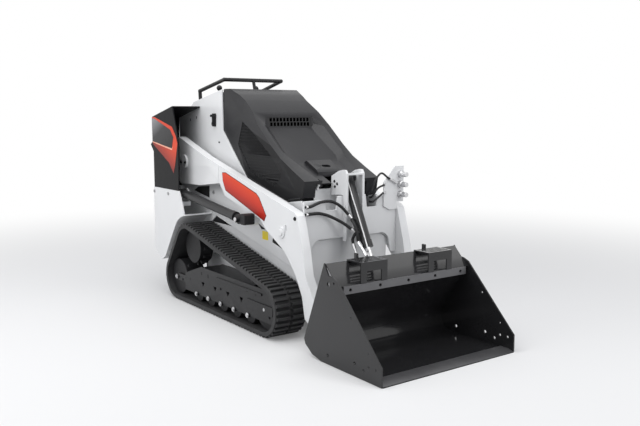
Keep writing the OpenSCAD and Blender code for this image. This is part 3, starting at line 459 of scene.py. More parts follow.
tread_tree, t_in, t_out = node_tree("tread_lugs", [("Lugs", "NodeSocketInt", LUGS), ("Lug", "NodeSocketObject", None),
                                                   ("Rubber", "NodeSocketMaterial", None)])
t_nodes, t_links = tread_tree.nodes, tread_tree.links
spaced = t_nodes.new("GeometryNodeResampleCurve")
t_links.new(t_in.outputs["Geometry"], spaced.inputs["Curve"])
t_links.new(t_in.outputs["Lugs"], spaced.inputs["Count"])
lug_info = t_nodes.new("GeometryNodeObjectInfo")
t_links.new(t_in.outputs["Lug"], lug_info.inputs["Object"])
tangent = t_nodes.new("GeometryNodeInputTangent")
turned = t_nodes.new("FunctionNodeAlignRotationToVector")
turned.axis = "X"
turned.pivot_axis = "Y"
t_links.new(tangent.outputs[0], turned.inputs["Vector"])
planted = t_nodes.new("GeometryNodeInstanceOnPoints")
t_links.new(spaced.outputs[0], planted.inputs["Points"])
t_links.new(lug_info.outputs["Geometry"], planted.inputs["Instance"])
t_links.new(turned.outputs[0], planted.inputs["Rotation"])
solid = t_nodes.new("GeometryNodeRealizeInstances")
t_links.new(planted.outputs[0], solid.inputs[0])
rubbered = t_nodes.new("GeometryNodeSetMaterial")
t_links.new(solid.outputs[0], rubbered.inputs["Geometry"])
t_links.new(t_in.outputs["Rubber"], rubbered.inputs["Material"])
t_links.new(rubbered.outputs[0], t_out.inputs["Geometry"])

tread_rubber = finish("tread_rubber", (0.018, 0.018, 0.019), 0.62, mottle=0.25, grain=420.0, bump=0.25, wear=0.12)
LUG_ROOT, LUG_TIP, LUG_GAP, LUG_SINK = 0.023, 0.015, 0.014, 0.003


def lug_half(y0, y1):
    """One half of a lug, standing towards -Z from the belt's face at 0."""
    slope = 0.004
    ring = [[(-w, y0 + e, z), (w, y0 + e, z), (w, y1 - e, z), (-w, y1 - e, z)]
            for w, e, z in ((LUG_ROOT / 2, 0, LUG_SINK), (LUG_ROOT / 2 - 0.001, 0, 0.0),
                            (LUG_TIP / 2 + 0.001, slope * 0.8, 0.002 - LUG_H), (LUG_TIP / 2 - 0.001, slope, -LUG_H))]
    verts = [p for row in ring for p in row]
    faces = [(0, 1, 2, 3), (15, 14, 13, 12)]
    for k in range(3):
        faces += [(4 * k + (j + 1) % 4, 4 * k + j, 4 * k + 4 + j, 4 * k + 4 + (j + 1) % 4) for j in range(4)]
    return verts, faces


for sign, where in ((-1, "right"), (1, "left")):
    y0, y1 = sorted((sign * TRACK_Y0, sign * TRACK_Y1))
    middle = (y0 + y1) / 2
    # the belt's cross-section as (y, height over the outer face), round from the inside
    section = [(y0, -BELT), (y0, 0.002), (y0 + 0.006, 0.004), (y0 + 0.012, 0.0), (middle - 0.012, 0.0),
               (middle - 0.008, -0.003), (middle + 0.008, -0.003), (middle + 0.012, 0.0), (y1 - 0.012, 0.0),
               (y1 - 0.006, 0.004), (y1, 0.002), (y1, -BELT), (middle + 0.03, -BELT), (middle - 0.03, -BELT)]
    m = len(section)
    verts, faces = [], []
    for (x, z), (nx, nz) in loop_points(LOOP, BELT_STEPS):
        verts += [(x + nx * h, y, z + nz * h) for y, h in section]
    for k in range(BELT_STEPS):
        after = (k + 1) % BELT_STEPS
        faces += [(k * m + j, k * m + (j + 1) % m, after * m + (j + 1) % m, after * m + j) for j in range(m)]
    belt = mesh_of("belt_" + where, [(verts, faces)])
    lug = bpy.data.objects.new("lug", mesh_of("lug", [lug_half(y0 + 0.005, middle - LUG_GAP / 2),
                                                      lug_half(middle + LUG_GAP / 2, y1 - 0.005)]))
    scene.collection.objects.link(lug)
    line = bpy.data.curves.new("belt_line", "CURVE")
    line.dimensions = "3D"
    spline = line.splines.new("POLY")
    spline.points.add(BELT_STEPS - 1)
    spline.use_cyclic_u = True
    for point, ((x, z), _) in zip(spline.points, loop_points(LOOP, BELT_STEPS)):
        point.co = (x, 0, z, 1)
    lugs = grown(tread_tree, bpy.data.objects.new("belt_line", line), {"Lugs": LUGS, "Lug": lug, "Rubber": tread_rubber})
    bpy.data.objects.remove(lug)
    piece_of("track_belt_" + where, belt, tread_rubber, "chassis", "rubber", "track_" + where)
    piece_of("track_lugs_" + where, lugs, tread_rubber, "chassis", "rubber", "track_" + where)

# Undercarriage. Welded black frames between the tracks' runs, with five rollers, two idlers and the sprocket
# on each side. The bolts are bright, and the plates are cut from 10 mm sheet and painted.


def softened(node, name, paint, slot, radius=0.0015, turn=34, keep=None):
    """A piece with a CAD node's form and its edges rounded as paint and cutting leave them.

    Where keep is given, only the faces whose middle passes that test stay."""
    source = frame["nodes"][node]
    mesh = source.data.copy()
    mesh.name = name
    work = bmesh.new()
    work.from_mesh(mesh)
    bmesh.ops.remove_doubles(work, verts=work.verts, dist=2e-5)
    bmesh.ops.dissolve_limit(work, angle_limit=math.radians(0.6), verts=work.verts, edges=work.edges)
    if keep:
        shed = [face for face in work.faces if not keep(face.calc_center_median())]
        bmesh.ops.delete(work, geom=shed, context="FACES")
    work.to_mesh(mesh)
    work.free()
    made = piece_of(name, mesh, paint, source["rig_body"], slot, node)
    if radius:
        edge = made.modifiers.new("edge", "BEVEL")
        edge.width = radius
        edge.segments = 2
        edge.limit_method = "ANGLE"
        edge.angle_limit = math.radians(turn)
        edge.harden_normals = True
    return made


frame_black = finish("frame_black", (0.013, 0.013, 0.014), 0.40, coat=0.1, mottle=0.12, grain=500.0, bump=0.06, sheen=0.24)
cast_black = finish("cast_black", (0.012, 0.012, 0.013), 0.50, mottle=0.2, grain=300.0, bump=0.2, sheen=0.25)
bright_steel = finish("bright_steel", (0.60, 0.60, 0.61), 0.30, metal=1.0, mottle=0.1, grain=700.0, bump=0.03)
for where in ("right", "left"):
    softened("track_frame_" + where, "frame_plates_" + where, frame_black, "black_paint")
    softened("rollers_" + where, "roller_set_" + where, cast_black, "black_paint", 0.003)
    softened("idlers_" + where, "idler_set_" + where, cast_black, "black_paint", 0.003)
    softened("sprocket_" + where, "drive_sprocket_" + where, cast_black, "black_paint", 0.002)

# Bolts all over the machine: zinc-plated hexagon heads on washers, turned to the face that they sit on.

bolt_tree, b_in, b_out = node_tree("bolt_heads", [("Head radius", "NodeSocketFloat", 0.009),
                                                  ("Head height", "NodeSocketFloat", 0.006),
                                                  ("Metal", "NodeSocketMaterial", None)])
b_nodes, b_links = bolt_tree.nodes, bolt_tree.links
as_points = b_nodes.new("GeometryNodeMeshToPoints")
b_links.new(b_in.outputs["Geometry"], as_points.inputs["Mesh"])
head = b_nodes.new("GeometryNodeMeshCylinder")
head.inputs["Vertices"].default_value = 6
b_links.new(b_in.outputs["Head radius"], head.inputs["Radius"])
b_links.new(b_in.outputs["Head height"], head.inputs["Depth"])
raised = b_nodes.new("GeometryNodeTransform")
lifted = b_nodes.new("ShaderNodeCombineXYZ")
b_links.new(b_in.outputs["Head height"], lifted.inputs["Z"])
b_links.new(lifted.outputs[0], raised.inputs["Translation"])
b_links.new(head.outputs["Mesh"], raised.inputs["Geometry"])
washer = b_nodes.new("GeometryNodeMeshCylinder")
washer.inputs["Vertices"].default_value = 20
wide = b_nodes.new("ShaderNodeMath")
wide.operation = "MULTIPLY"
wide.inputs[1].default_value = 1.45
b_links.new(b_in.outputs["Head radius"], wide.inputs[0])
b_links.new(wide.outputs[0], washer.inputs["Radius"])
b_links.new(b_in.outputs["Head height"], washer.inputs["Depth"])
joined = b_nodes.new("GeometryNodeJoinGeometry")
b_links.new(raised.outputs[0], joined.inputs[0])
b_links.new(washer.outputs["Mesh"], joined.inputs[0])
turn_of = b_nodes.new("GeometryNodeInputNamedAttribute")
turn_of.data_type = "FLOAT_VECTOR"
turn_of.inputs["Name"].default_value = "turn"
set_down = b_nodes.new("GeometryNodeInstanceOnPoints")
b_links.new(as_points.outputs[0], set_down.inputs["Points"])
b_links.new(joined.outputs[0], set_down.inputs["Instance"])
b_links.new(turn_of.outputs["Attribute"], set_down.inputs["Rotation"])
made_real = b_nodes.new("GeometryNodeRealizeInstances")
b_links.new(set_down.outputs[0], made_real.inputs[0])
plated = b_nodes.new("GeometryNodeSetMaterial")
b_links.new(made_real.outputs[0], plated.inputs["Geometry"])
b_links.new(b_in.outputs["Metal"], plated.inputs["Material"])
b_links.new(plated.outputs[0], b_out.inputs["Geometry"])


def bolts(name, body, places, radius=0.009, height=0.005, metal=None, slot="steel"):
    """Bolt heads at (point, face direction) places, as one piece."""
    base = bpy.data.meshes.new(name)
    base.from_pydata([p for p, _ in places], [], [])
    turns = base.attributes.new("turn", "FLOAT_VECTOR", "POINT")
    for item, (_, facing) in zip(turns.data, places):
        item.vector = Vector(facing).to_track_quat("Z", "X").to_euler()
    metal = metal or bright_steel
    mesh = grown(bolt_tree, bpy.data.objects.new(name, base),
                 {"Head radius": radius, "Head height": height, "Metal": metal})
    return piece_of(name, mesh, metal, body, slot)


FRAME_FACE = 0.484
ROLLERS_X = (-0.620, -0.450, -0.280, -0.110, 0.060)
# dark patches of painted shade, for openings in the plates and for the shade behind the arms
gap_painted_shade = finish("gap_painted_shade", (0.006, 0.006, 0.006), 0.8, mottle=0.3, grain=300.0, bump=0.05)
# slots cut in the frame's face, drawn as dark patches of painted shade: middle, width and height
FRAME_SLOTS = [(0.047, 0.246, 0.012, 0.026), (0.147, 0.239, 0.012, 0.026), (-0.554, 0.240, 0.016, 0.022),
               (-0.460, 0.237, 0.016, 0.024), (-0.721, 0.174, 0.008, 0.014), (0.330, 0.168, 0.022, 0.050)]
for sign, where in ((-1, "right"), (1, "left")):
    out = (0, sign, 0)
    bolts("axle_bolts_" + where, "chassis", [((x, sign * (FRAME_FACE + 0.008), 0.091), out) for x in ROLLERS_X]
          + [((-0.920, sign * (FRAME_FACE + 0.008), 0.160), out), ((0.250, sign * FRAME_FACE, 0.165), out)], 0.011, 0.005)
    bolts("frame_bolts_" + where, "chassis", [((x, sign * FRAME_FACE, z), out) for x, z in (
        (-0.843, 0.150), (-0.745, 0.262), (-0.289, 0.185), (0.062, 0.150), (0.300, 0.125))], 0.006, 0.003, cast_black,
          "black_paint")
    f0, f1 = sorted((sign * FRAME_FACE, sign * (FRAME_FACE + 0.0006)))
    slots = [prism([(x - w / 2, z - h / 2), (x + w / 2, z - h / 2), (x + w / 2, z + h / 2), (x - w / 2, z + h / 2)], f0, f1)
             for x, z, w, h in FRAME_SLOTS]
    piece_of("frame_slots_" + where, mesh_of("frame_slots", slots), gap_painted_shade, "chassis", "black_paint")
    # a folded guard along the front half of the frame's face, and a seam under it
    g0, g1 = sorted((sign * FRAME_FACE, sign * (FRAME_FACE + 0.007)))
    guard = prism([(0.055, 0.140), (0.345, 0.140), (0.345, 0.194), (0.055, 0.194)], g0, g1)
    piece_of("frame_guard_" + where, mesh_of("frame_guard", [guard]), frame_black, "chassis", "black_paint")

# White body: pressed side panels and rear pods in gloss enamel over 10 mm and 8 mm sheet.

white_enamel = finish("white_enamel", (0.74, 0.745, 0.75), 0.34, coat=0.35, mottle=0.012, grain=350.0, bump=0.012)
for where in ("right", "left"):
    softened("side_panel_" + where, "body_side_" + where, white_enamel, "white_paint", 0.002)
    softened("rear_pod_" + where, "pod_shell_" + where, white_enamel, "white_paint", 0.003)
softened("chassis_frame", "chassis_weldment", white_enamel, "white_paint", 0.002)
softened("engine_block", "engine_mass", finish("engine_grey", (0.10, 0.10, 0.105), 0.5, metal=0.6, mottle=0.3,
                                                 grain=200.0, bump=0.2), "engine", 0.006)

PANEL_FACE = 0.287
POD_FACE = 0.500
zinc = finish("zinc", (0.50, 0.50, 0.51), 0.38, metal=1.0, mottle=0.1, grain=700.0, bump=0.03)
# slots in the side panel, drawn as dark patches of painted shade: middle, width and height
LATCH_AT = (-0.700, 1.259)
PANEL_SLOTS = [(-0.640, 1.109, 0.022, 0.010), (-1.069, 1.258, 0.010, 0.018), (-0.973, 1.274, 0.010, 0.018)]
for sign, where in ((-1, "right"), (1, "left")):
    f0, f1 = both_sides(PANEL_FACE, PANEL_FACE + 0.0005, sign)
    slots = [prism([(x - w / 2, z - h / 2), (x + w / 2, z - h / 2), (x + w / 2, z + h / 2), (x - w / 2, z + h / 2)], f0, f1)
             for x, z, w, h in PANEL_SLOTS]
    piece_of("panel_slots_" + where, mesh_of("panel_slots", slots), gap_painted_shade, "chassis", "black_paint")
    out = (0, sign, 0)
    bolts("panel_bolts_" + where, "chassis", [((-0.731, sign * PANEL_FACE, 0.761), out)], 0.009, 0.005, zinc)
    bolts("pod_bolts_" + where, "chassis", [((x, sign * POD_FACE, 0.741), out) for x in (-1.248, -1.013)], 0.009, 0.005,
          zinc)
# painted shade on the panel behind the arms, as dark patches: one where the lines to the lift cylinders run, and two on
# the triangular openings over the track
SHADES = [[(-1.032, 0.751), (-0.797, 0.717), (-0.793, 0.801), (-0.961, 0.784)], [(-0.144, 0.615), (-0.099, 0.579),
          (-0.053, 0.585)], [(0.035, 0.559), (0.028, 0.514), (0.156, 0.485)]]
for sign, where in ((-1, "right"), (1, "left")):
    f0, f1 = both_sides(PANEL_FACE, PANEL_FACE + 0.0006, sign)
    piece_of("panel_shades_" + where, mesh_of("panel_shades", [prism(outline, f0, f1) for outline in SHADES]), gap_painted_shade,
             "chassis", "black_paint")
    # a rubber latch on the panel: a strap over a keeper
    f0, f1 = both_sides(PANEL_FACE, PANEL_FACE + 0.010, sign)
    f3 = sign * (PANEL_FACE + 0.018)
    latch = [box((LATCH_AT[0] - 0.022, f0, LATCH_AT[1] - 0.044), (LATCH_AT[0] + 0.022, f1, LATCH_AT[1] + 0.044), 0.006),
             box((LATCH_AT[0] - 0.034, f0, LATCH_AT[1] + 0.020), (LATCH_AT[0] + 0.034, f3, LATCH_AT[1] + 0.036), 0.004),
             box((LATCH_AT[0] - 0.014, f0, LATCH_AT[1] - 0.036), (LATCH_AT[0] + 0.014, f3, LATCH_AT[1] - 0.016), 0.004)]
    piece_of("panel_latch_" + where, mesh_of("panel_latch", latch), cast_black, "chassis", "black_plastic")
    # the white lining between the panel's rear edge and the pod, under the wing
    f0, f1 = both_sides(PANEL_FACE - 0.010, PANEL_FACE - 0.0005, sign)
    lining = prism([(-1.120, 1.305), (-1.258, 1.277), (-1.258, 1.082), (-1.184, 1.121)], f0, f1)
    piece_of("panel_lining_" + where, mesh_of("panel_lining", [lining]), white_enamel, "chassis", "white_paint")
# a blank yellow tag low on the right panel
tag_yellow = finish("tag_yellow", (0.84, 0.66, 0.02), 0.38, coat=0.3, mottle=0.05, grain=600.0, bump=0.01)
f0, f1 = both_sides(PANEL_FACE, PANEL_FACE + 0.0008, -1)
piece_of("tag", mesh_of("tag", [box((-0.0905, f0, 0.518), (-0.0225, f1, 0.572), 0.004)]), tag_yellow, "chassis",
         "black_plastic")

# Wings: black side guards on the pods, with a printed film on their outer faces and a painted highlight along the
# film's dark panel.

moulded_black = finish("moulded_black", (0.022, 0.022, 0.024), 0.32, mottle=0.10, grain=1400.0, bump=0.10, wear=0.06,
                       sheen=0.24)
wing_black = finish("wing_black", (0.006, 0.006, 0.007), 0.34, mottle=0.10, grain=1400.0, bump=0.06, sheen=0.08)
WING_SLOPE = (0.45, 0.0, 0.893)
# the orange runs darker towards the bottom
signal_orange = shaded_across(
    finish("signal_orange", (0.72, 0.062, 0.014), 0.36, grain=600.0, bump=0.01, sheen=0.25), WING_SLOPE, 0.40, 0.68,
    [(0.0, (0.22, 0.012, 0.006)), (1.0, (0.62, 0.040, 0.010)), (0.55, (0.70, 0.055, 0.012))])
# the dark panel turns grey towards its upper rear corner: a painted highlight on the black print
film_black_painted_highlight = shaded_across(
    finish("film_black_painted_highlight", (0.012, 0.012, 0.013), 0.30, grain=600.0, bump=0.01, sheen=0.2), (-0.42, 0.0, 0.9075), 1.40, 1.66,
    [(0.0, (0.008, 0.008, 0.009)), (1.0, (0.26, 0.26, 0.27)), (0.55, (0.030, 0.030, 0.032))])
highlight = finish("highlight", (0.86, 0.42, 0.30), 0.4, grain=600.0, bump=0.01, sheen=0.3)
WING_FACE = 0.500
FILM = 0.0008
for sign, where in ((-1, "right"), (1, "left")):
    softened("wing_" + where, "wing_shell_" + where, wing_black, "black_plastic", 0.004)
    film0, film1 = sorted((sign * WING_FACE, sign * (WING_FACE + FILM)))
    film2, film3 = sorted((sign * (WING_FACE + FILM), sign * (WING_FACE + 2 * FILM)))
    border = [(-1.262, 1.274), (-1.222, 1.279), (-0.925, 1.212), (-0.868, 1.150), (-0.843, 1.100), (-0.888, 0.950),
              (-0.915, 0.890), (-0.985, 0.960), (-1.255, 1.085)]
    panel = [(-1.262, 1.268), (-1.222, 1.268), (-0.955, 1.192), (-0.905, 1.140), (-0.932, 1.062), (-1.258, 1.104)]
    piece_of("wing_film_" + where, mesh_of("wing_film", [prism(border, film0, film1)]), signal_orange, "chassis",
             "black_plastic")
    piece_of("wing_panel_" + where, mesh_of("wing_panel", [prism(panel, film2, film3)]), film_black_painted_highlight, "chassis",
             "black_plastic")
    # a pale streak along the panel's lower edge: a painted highlight
    streak = [(-1.256, 1.103), (-1.256, 1.097), (-1.200, 1.088), (-0.930, 1.050), (-0.918, 1.078), (-0.932, 1.062)]
    piece_of("wing_streak_" + where, mesh_of("wing_highlight_streak", [prism(streak, film2, film3)]), highlight, "chassis",
             "black_plastic")

# Operator's place: moulded console with a foam thigh pad, two hand controls, the bent grab bar and the platform.

pad_foam = finish("pad_foam", (0.018, 0.018, 0.019), 0.72, mottle=0.15, grain=260.0, bump=0.35, sheen=0.3)
softened("console", "console_shell", moulded_black, "black_plastic", 0.006)
softened("thigh_pad", "thigh_cushion", pad_foam, "pad_foam", 0.010)
softened("controls", "hand_controls", moulded_black, "black_plastic", 0.002)
softened("grab_bar", "grab_rail", frame_black, "black_paint", 0)
softened("platform", "platform_deck", frame_black, "black_paint", 0.003)

# Hood: a moulded black shell over the engine bay, with a wire grille at its top and louvres at its sides.

LOUVRES = [(-0.340, 1.250), (-0.399, 1.104), (-0.252, 0.942), (0.057, 0.875), (0.105, 0.917), (0.113, 0.939),
           (0.003, 1.044), (-0.220, 1.189)]
HOOD_FACE = 0.2767


def in_louvres(c):
    """Whether a face's middle lies in the pocket of the louvres."""
    found = False
    for (x0, z0), (x1, z1) in zip(LOUVRES, LOUVRES[1:] + LOUVRES[:1]):
        if (z0 > c.z) != (z1 > c.z) and c.x < x0 + (x1 - x0) * (c.z - z0) / (z1 - z0):
            found = not found
    return found and 0.262 < abs(c.y) < HOOD_FACE + 0.001


# the louvres' pocket gets a darker, duller black than the shell: painted shade in the recess
louvre_black_painted_shade = finish("louvre_black_painted_shade", (0.011, 0.011, 0.012), 0.45, mottle=0.15, grain=900.0, bump=0.10, sheen=0.16)
softened("hood", "hood_shell", moulded_black, "black_plastic", 0.005, keep=lambda c: not in_louvres(c))
softened("hood", "hood_louvres", louvre_black_painted_shade, "black_plastic", 0.0, keep=in_louvres)
softened("hood_grille", "hood_mesh", frame_black, "black_paint", 0.001)

# a moulded rail along the hood's side, and short ribs at its middle
RAIL = [(-0.606, 1.178), (-0.432, 1.059), (-0.300, 0.910), (-0.261, 0.895), (0.175, 0.782), (0.211, 0.795), (0.320, 0.811)]
RAIL_STEP = 0.012
RIBS = 11
RIB_LINE = ((-0.226, 0.932), (0.044, 0.869))


def between(a, b, share):
    """A point at a share of the way from a to b."""
    return tuple(p + (q - p) * share for p, q in zip(a, b))


def on_hood_side(x, z, sign, proud=0.0):
    """The point of the hood's side skin at a place seen from the side, or None."""
    hit = landed("hood", (x, sign * 0.45, z), (0, -sign, 0))
    return None if hit is None or abs(hit.y) < 0.15 else (hit.x, hit.y + sign * proud, hit.z)


for sign, where in ((-1, "right"), (1, "left")):
    runs, run = [], []
    for a, b in zip(RAIL, RAIL[1:]):
        steps = max(2, round(math.dist(a, b) / RAIL_STEP))
        for k in range(steps + (b == RAIL[-1])):
            spot = on_hood_side(*between(a, b, k / steps), sign)
            if spot is None or (run and abs(spot[1] - run[-1][1]) > 0.012):
                runs.append(run)
                run = []
            if spot is not None:
                run.append(spot)
    runs.append(run)
    rails = [tube(run, 0.0035, 8) for run in runs if len(run) > 2]
    ribs = []
    for k in range(RIBS):
        x, z = between(*RIB_LINE, k / (RIBS - 1))
        ends = [on_hood_side(x, z + lift, sign) for lift in (-0.010, 0.010)]
        if None not in ends:
            ribs.append(tube(ends, 0.0022, 6))
    piece_of("hood_rail_" + where, mesh_of("hood_rail", rails), moulded_black, "hood", "black_plastic")
    if ribs:
        piece_of("hood_ribs_" + where, mesh_of("hood_ribs", ribs), moulded_black, "hood", "black_plastic")

# Lift arms: 56 mm box sections in white enamel, a cross plate, and the tower that holds the tilt cylinder.

for where in ("right", "left"):
    softened("arm_" + where, "lift_arm_" + where, white_enamel, "white_paint", 0.003)
softened("arm_cross", "cross_plate", white_enamel, "white_paint", 0.002)
softened("tilt_tower", "tilt_mast", white_enamel, "white_paint", 0.002)
ARM_FACE = 0.400
ARM_DECAL = [(-0.397, 0.925), (-0.350, 0.928), (0.031, 0.825), (0.063, 0.802), (0.141, 0.701), (0.117, 0.664),
             (-0.354, 0.810), (-0.390, 0.871)]
ARM_SLOPE = (0.26, 0.0, 0.966)
film_edge = finish("film_edge", (0.10, 0.008, 0.006), 0.36, mottle=0.10, grain=600.0, bump=0.01, sheen=0.25)
# the orange runs darker towards the bottom
arm_film = shaded_across(finish("arm_film", (0.72, 0.062, 0.014), 0.34, grain=600.0, bump=0.01, sheen=0.25), ARM_SLOPE,
                         0.675, 0.815, [(0.0, (0.26, 0.010, 0.006)), (1.0, (0.74, 0.062, 0.012)),
                                        (0.45, (0.56, 0.026, 0.008))])
for sign, where in ((-1, "right"), (1, "left")):
    out = (0, sign, 0)
    f0, f1 = both_sides(ARM_FACE, ARM_FACE + FILM, sign)
    f2, f3 = both_sides(ARM_FACE + FILM, ARM_FACE + 2 * FILM, sign)
    piece_of("arm_film_edge_" + where, mesh_of("arm_film_edge", [prism(ARM_DECAL, f0, f1)]), film_edge, "arms",
             "black_plastic")
    piece_of("arm_film_" + where, mesh_of("arm_film", [prism(inset(ARM_DECAL, 0.004), f2, f3)]), arm_film, "arms",
             "black_plastic")
    # the cap of the pivot pin, and a stop with a round pad near the knee
    cap = turned_part([(0.047, 0), (0.047, 0.010), (0.044, 0.013)], (-0.938, sign * ARM_FACE, 0.970), out)
    pad = turned_part([(0.035, 0), (0.035, 0.006), (0.033, 0.008)], (0.307, sign * ARM_FACE, 0.621), out)
    boss = turned_part([(0.020, 0), (0.020, 0.014), (0.018, 0.016)], (0.307, sign * ARM_FACE, 0.621), out)
    b0, b1 = both_sides(ARM_FACE, ARM_FACE + 0.010, sign)
    bar = box((0.350, b0, 0.639), (0.357, b1, 0.671))
    piece_of("arm_caps_" + where, mesh_of("arm_caps", [cap, pad, boss, bar]), white_enamel, "arms", "white_paint")
    bolts("arm_bolts_" + where, "arms", [((x, sign * (ARM_FACE + 0.013), z), out) for x, z in ((-0.966, 0.965),
          (-0.910, 0.963))] + [((0.446, sign * ARM_FACE, 0.716), out)], 0.008, 0.005, cast_black, "black_paint")
    # the cast block that holds the lift cylinder's front pin
    c0, c1 = both_sides(ARM_FACE + 0.004, 0.475, sign)
    clevis = piece_of("lift_clevis_" + where, mesh_of("lift_clevis", [box((-0.040, c0, 0.633), (0.012, c1, 0.699), 0.008)]),
                      cast_black, "arms", "black_paint")

softened("aux_couplers", "coupler_plate", white_enamel, "white_paint", 0.0015, keep=lambda c: 0.4555 < c.x < 0.4645)
softened("aux_couplers", "coupler_set", bright_steel, "steel", 0.0015, keep=lambda c: not 0.4555 < c.x < 0.4645)
bolts("tower_bolts", "arms", [((x, -0.068, z), (0, -1, 0)) for x, z in ((0.372, 0.905), (0.398, 0.892), (0.376, 0.874))],
      0.006, 0.003, cast_black, "black_paint")

# Tilt hoses: two rubber hoses from the right arm's inner face to the ports of the tilt barrel. Their route is that
# of the CAD's hoses, with crimped steel sleeves on both ends.

HOSE_R = 0.009
HOSE_NEAR, HOSE_FAR = -0.053, -0.335
# x, share of the way from the port to the arm, z
HOSE_BENDS = {
    "upper": [(0.470, 1, 0.779), (0.470, 0.89, 0.782), (0.470, 0.64, 0.802), (0.477, 0.39, 0.800), (0.492, 0.19, 0.766),
              (0.512, 0.07, 0.722)],
    "lower": [(0.470, 1, 0.737), (0.470, 0.89, 0.738), (0.470, 0.69, 0.737), (0.480, 0.45, 0.716), (0.513, 0.22, 0.678),
              (0.543, 0.08, 0.642)]}
TILT_TOP = Vector((0.406, 0.0, 0.928))
TILT_LINE = Vector((0.44290, 0.0, -0.89657))
HOSE_PORTS = {"upper": 0.260, "lower": 0.345}
hose_rubber = finish("hose_rubber", (0.010, 0.010, 0.011), 0.46, mottle=0.15, grain=900.0, bump=0.15, sheen=0.3)


for which, bends in HOSE_BENDS.items():
    port = TILT_TOP + HOSE_PORTS[which] * TILT_LINE
    line = [(x, HOSE_NEAR + share * (HOSE_FAR - HOSE_NEAR), z) for x, share, z in bends]
    line = [(line[0][0], -0.3434, line[0][2])] + curve_through(line + [(port.x, HOSE_NEAR, port.z)], 6)
    line.append((port.x, -0.0446, port.z))
    hose = piece_of("tilt_hose_" + which, mesh_of("tilt_hose", [tube(line, HOSE_R, 20)]), hose_rubber, "arms", "rubber",
                    "tilt_hoses")
    tail = line[-8:-3]
    sleeves = [tube(line[:3], HOSE_R + 0.003, 24), tube(tail, HOSE_R + 0.003, 24)]
    piece_of("hose_sleeves_" + which, mesh_of("hose_sleeves", sleeves), bright_steel, "arms", "steel")

# Couplers' hoses: three thin rubber hoses from behind the cross plate, over its notch and to the couplers' bracket.

AUX_R = 0.006
AUX_ROUTES = {
    "top": [(0.436, 0.137, 0.818), (0.462, 0.137, 0.838), (0.470, 0.160, 0.900), (0.470, 0.209, 0.946), (0.470, 0.265, 0.916),
            (0.471, 0.330, 0.882)],
    "middle": [(0.436, 0.150, 0.800), (0.460, 0.152, 0.812), (0.468, 0.185, 0.856), (0.466, 0.230, 0.872),
               (0.461, 0.247, 0.875)],
    "low": [(0.436, 0.145, 0.776), (0.462, 0.155, 0.778), (0.468, 0.190, 0.802), (0.466, 0.225, 0.822),
            (0.461, 0.251, 0.827)]}
for which, route in AUX_ROUTES.items():
    line = curve_through(route, 6)
    hose = piece_of("aux_hose_" + which, mesh_of("aux_hose", [tube(line, AUX_R, 16)]), hose_rubber, "arms", "rubber")
    piece_of("aux_sleeve_" + which, mesh_of("aux_sleeve", [tube(line[-6:], AUX_R + 0.0025, 20)]), bright_steel, "arms", "steel")

# Cylinders: charcoal barrels with chromed rods. The rods' eyes are black castings on bright pins.

plated_rod = finish("plated_rod", (0.66, 0.66, 0.67), 0.14, metal=1.0, mottle=0.04, grain=500.0, bump=0.005)
cylinder_grey = finish("cylinder_grey", (0.018, 0.018, 0.019), 0.34, coat=0.1, mottle=0.08, grain=500.0, bump=0.03,
                       sheen=0.3)
LIFT_EYE = (-0.073, 0.661)
TILT_LOW = (0.694, 0.345)
EYE_REACH = 0.0315


def near(at):
    """A test for faces that lie on an eye round a pin at (x, z)."""
    return lambda c: math.hypot(c.x - at[0], c.z - at[1]) < EYE_REACH


def away(at):
    """A test for faces that lie clear of that eye."""
    return lambda c: math.hypot(c.x - at[0], c.z - at[1]) >= EYE_REACH


for sign, where in ((-1, "right"), (1, "left")):
    softened("lift_barrel_" + where, "lift_tube_" + where, cylinder_grey, "cylinder_paint", 0.002)
    softened("lift_rod_" + where, "lift_piston_" + where, plated_rod, "rod_chrome", 0.002, keep=away(LIFT_EYE))
    softened("lift_rod_" + where, "lift_eye_" + where, cast_black, "cylinder_paint", 0.002, keep=near(LIFT_EYE))
    pin = turned_part([(0.014, 0), (0.014, 0.003), (0.012, 0.005)], (LIFT_EYE[0], sign * 0.4912, LIFT_EYE[1]), (0, sign, 0))
    neck = turned_part([(0.021, 0.024), (0.021, 0.056), (0.018, 0.064)], (LIFT_EYE[0], sign * 0.446, LIFT_EYE[1]),
                       (-0.99374, 0, 0.11175))
    piece_of("lift_neck_" + where, mesh_of("lift_neck", [neck]), cast_black, "lift_rod_" + where, "cylinder_paint")
    piece_of("lift_pin_cap_" + where, mesh_of("lift_pin_cap", [pin]), bright_steel, "lift_rod_" + where, "steel")
softened("tilt_barrel", "tilt_tube", cylinder_grey, "cylinder_paint", 0.002)
softened("tilt_rod", "tilt_piston", plated_rod, "rod_chrome", 0.002, keep=away(TILT_LOW))
softened("tilt_rod", "tilt_eye", cast_black, "cylinder_paint", 0.002, keep=near(TILT_LOW))
# a steel pipe along the barrel's front, and the fittings below the hoses
pipe = curve_through([(0.452, -0.026, 0.905), (0.472, -0.033, 0.875), (0.583, -0.029, 0.651), (0.640, -0.030, 0.535),
                      (0.632, -0.030, 0.515)], 6)
piece_of("tilt_pipe", mesh_of("tilt_pipe", [tube(pipe, 0.004, 14)]), bright_steel, "tilt_barrel", "steel")
fittings = [tube([(0.583, -0.056, 0.573), (0.661, -0.056, 0.500)], 0.008, 18),
            tube([(0.590, -0.056, 0.566), (0.612, -0.056, 0.546)], 0.011, 6),
            tube([(0.640, -0.056, 0.520), (0.661, -0.056, 0.500)], 0.010, 6),
            tube([(0.554, -0.070, 0.560), (0.598, -0.070, 0.484)], 0.008, 18),
            tube([(0.559, -0.070, 0.552), (0.571, -0.070, 0.531)], 0.011, 6),
            tube([(0.588, -0.070, 0.502), (0.598, -0.070, 0.484)], 0.010, 6)]
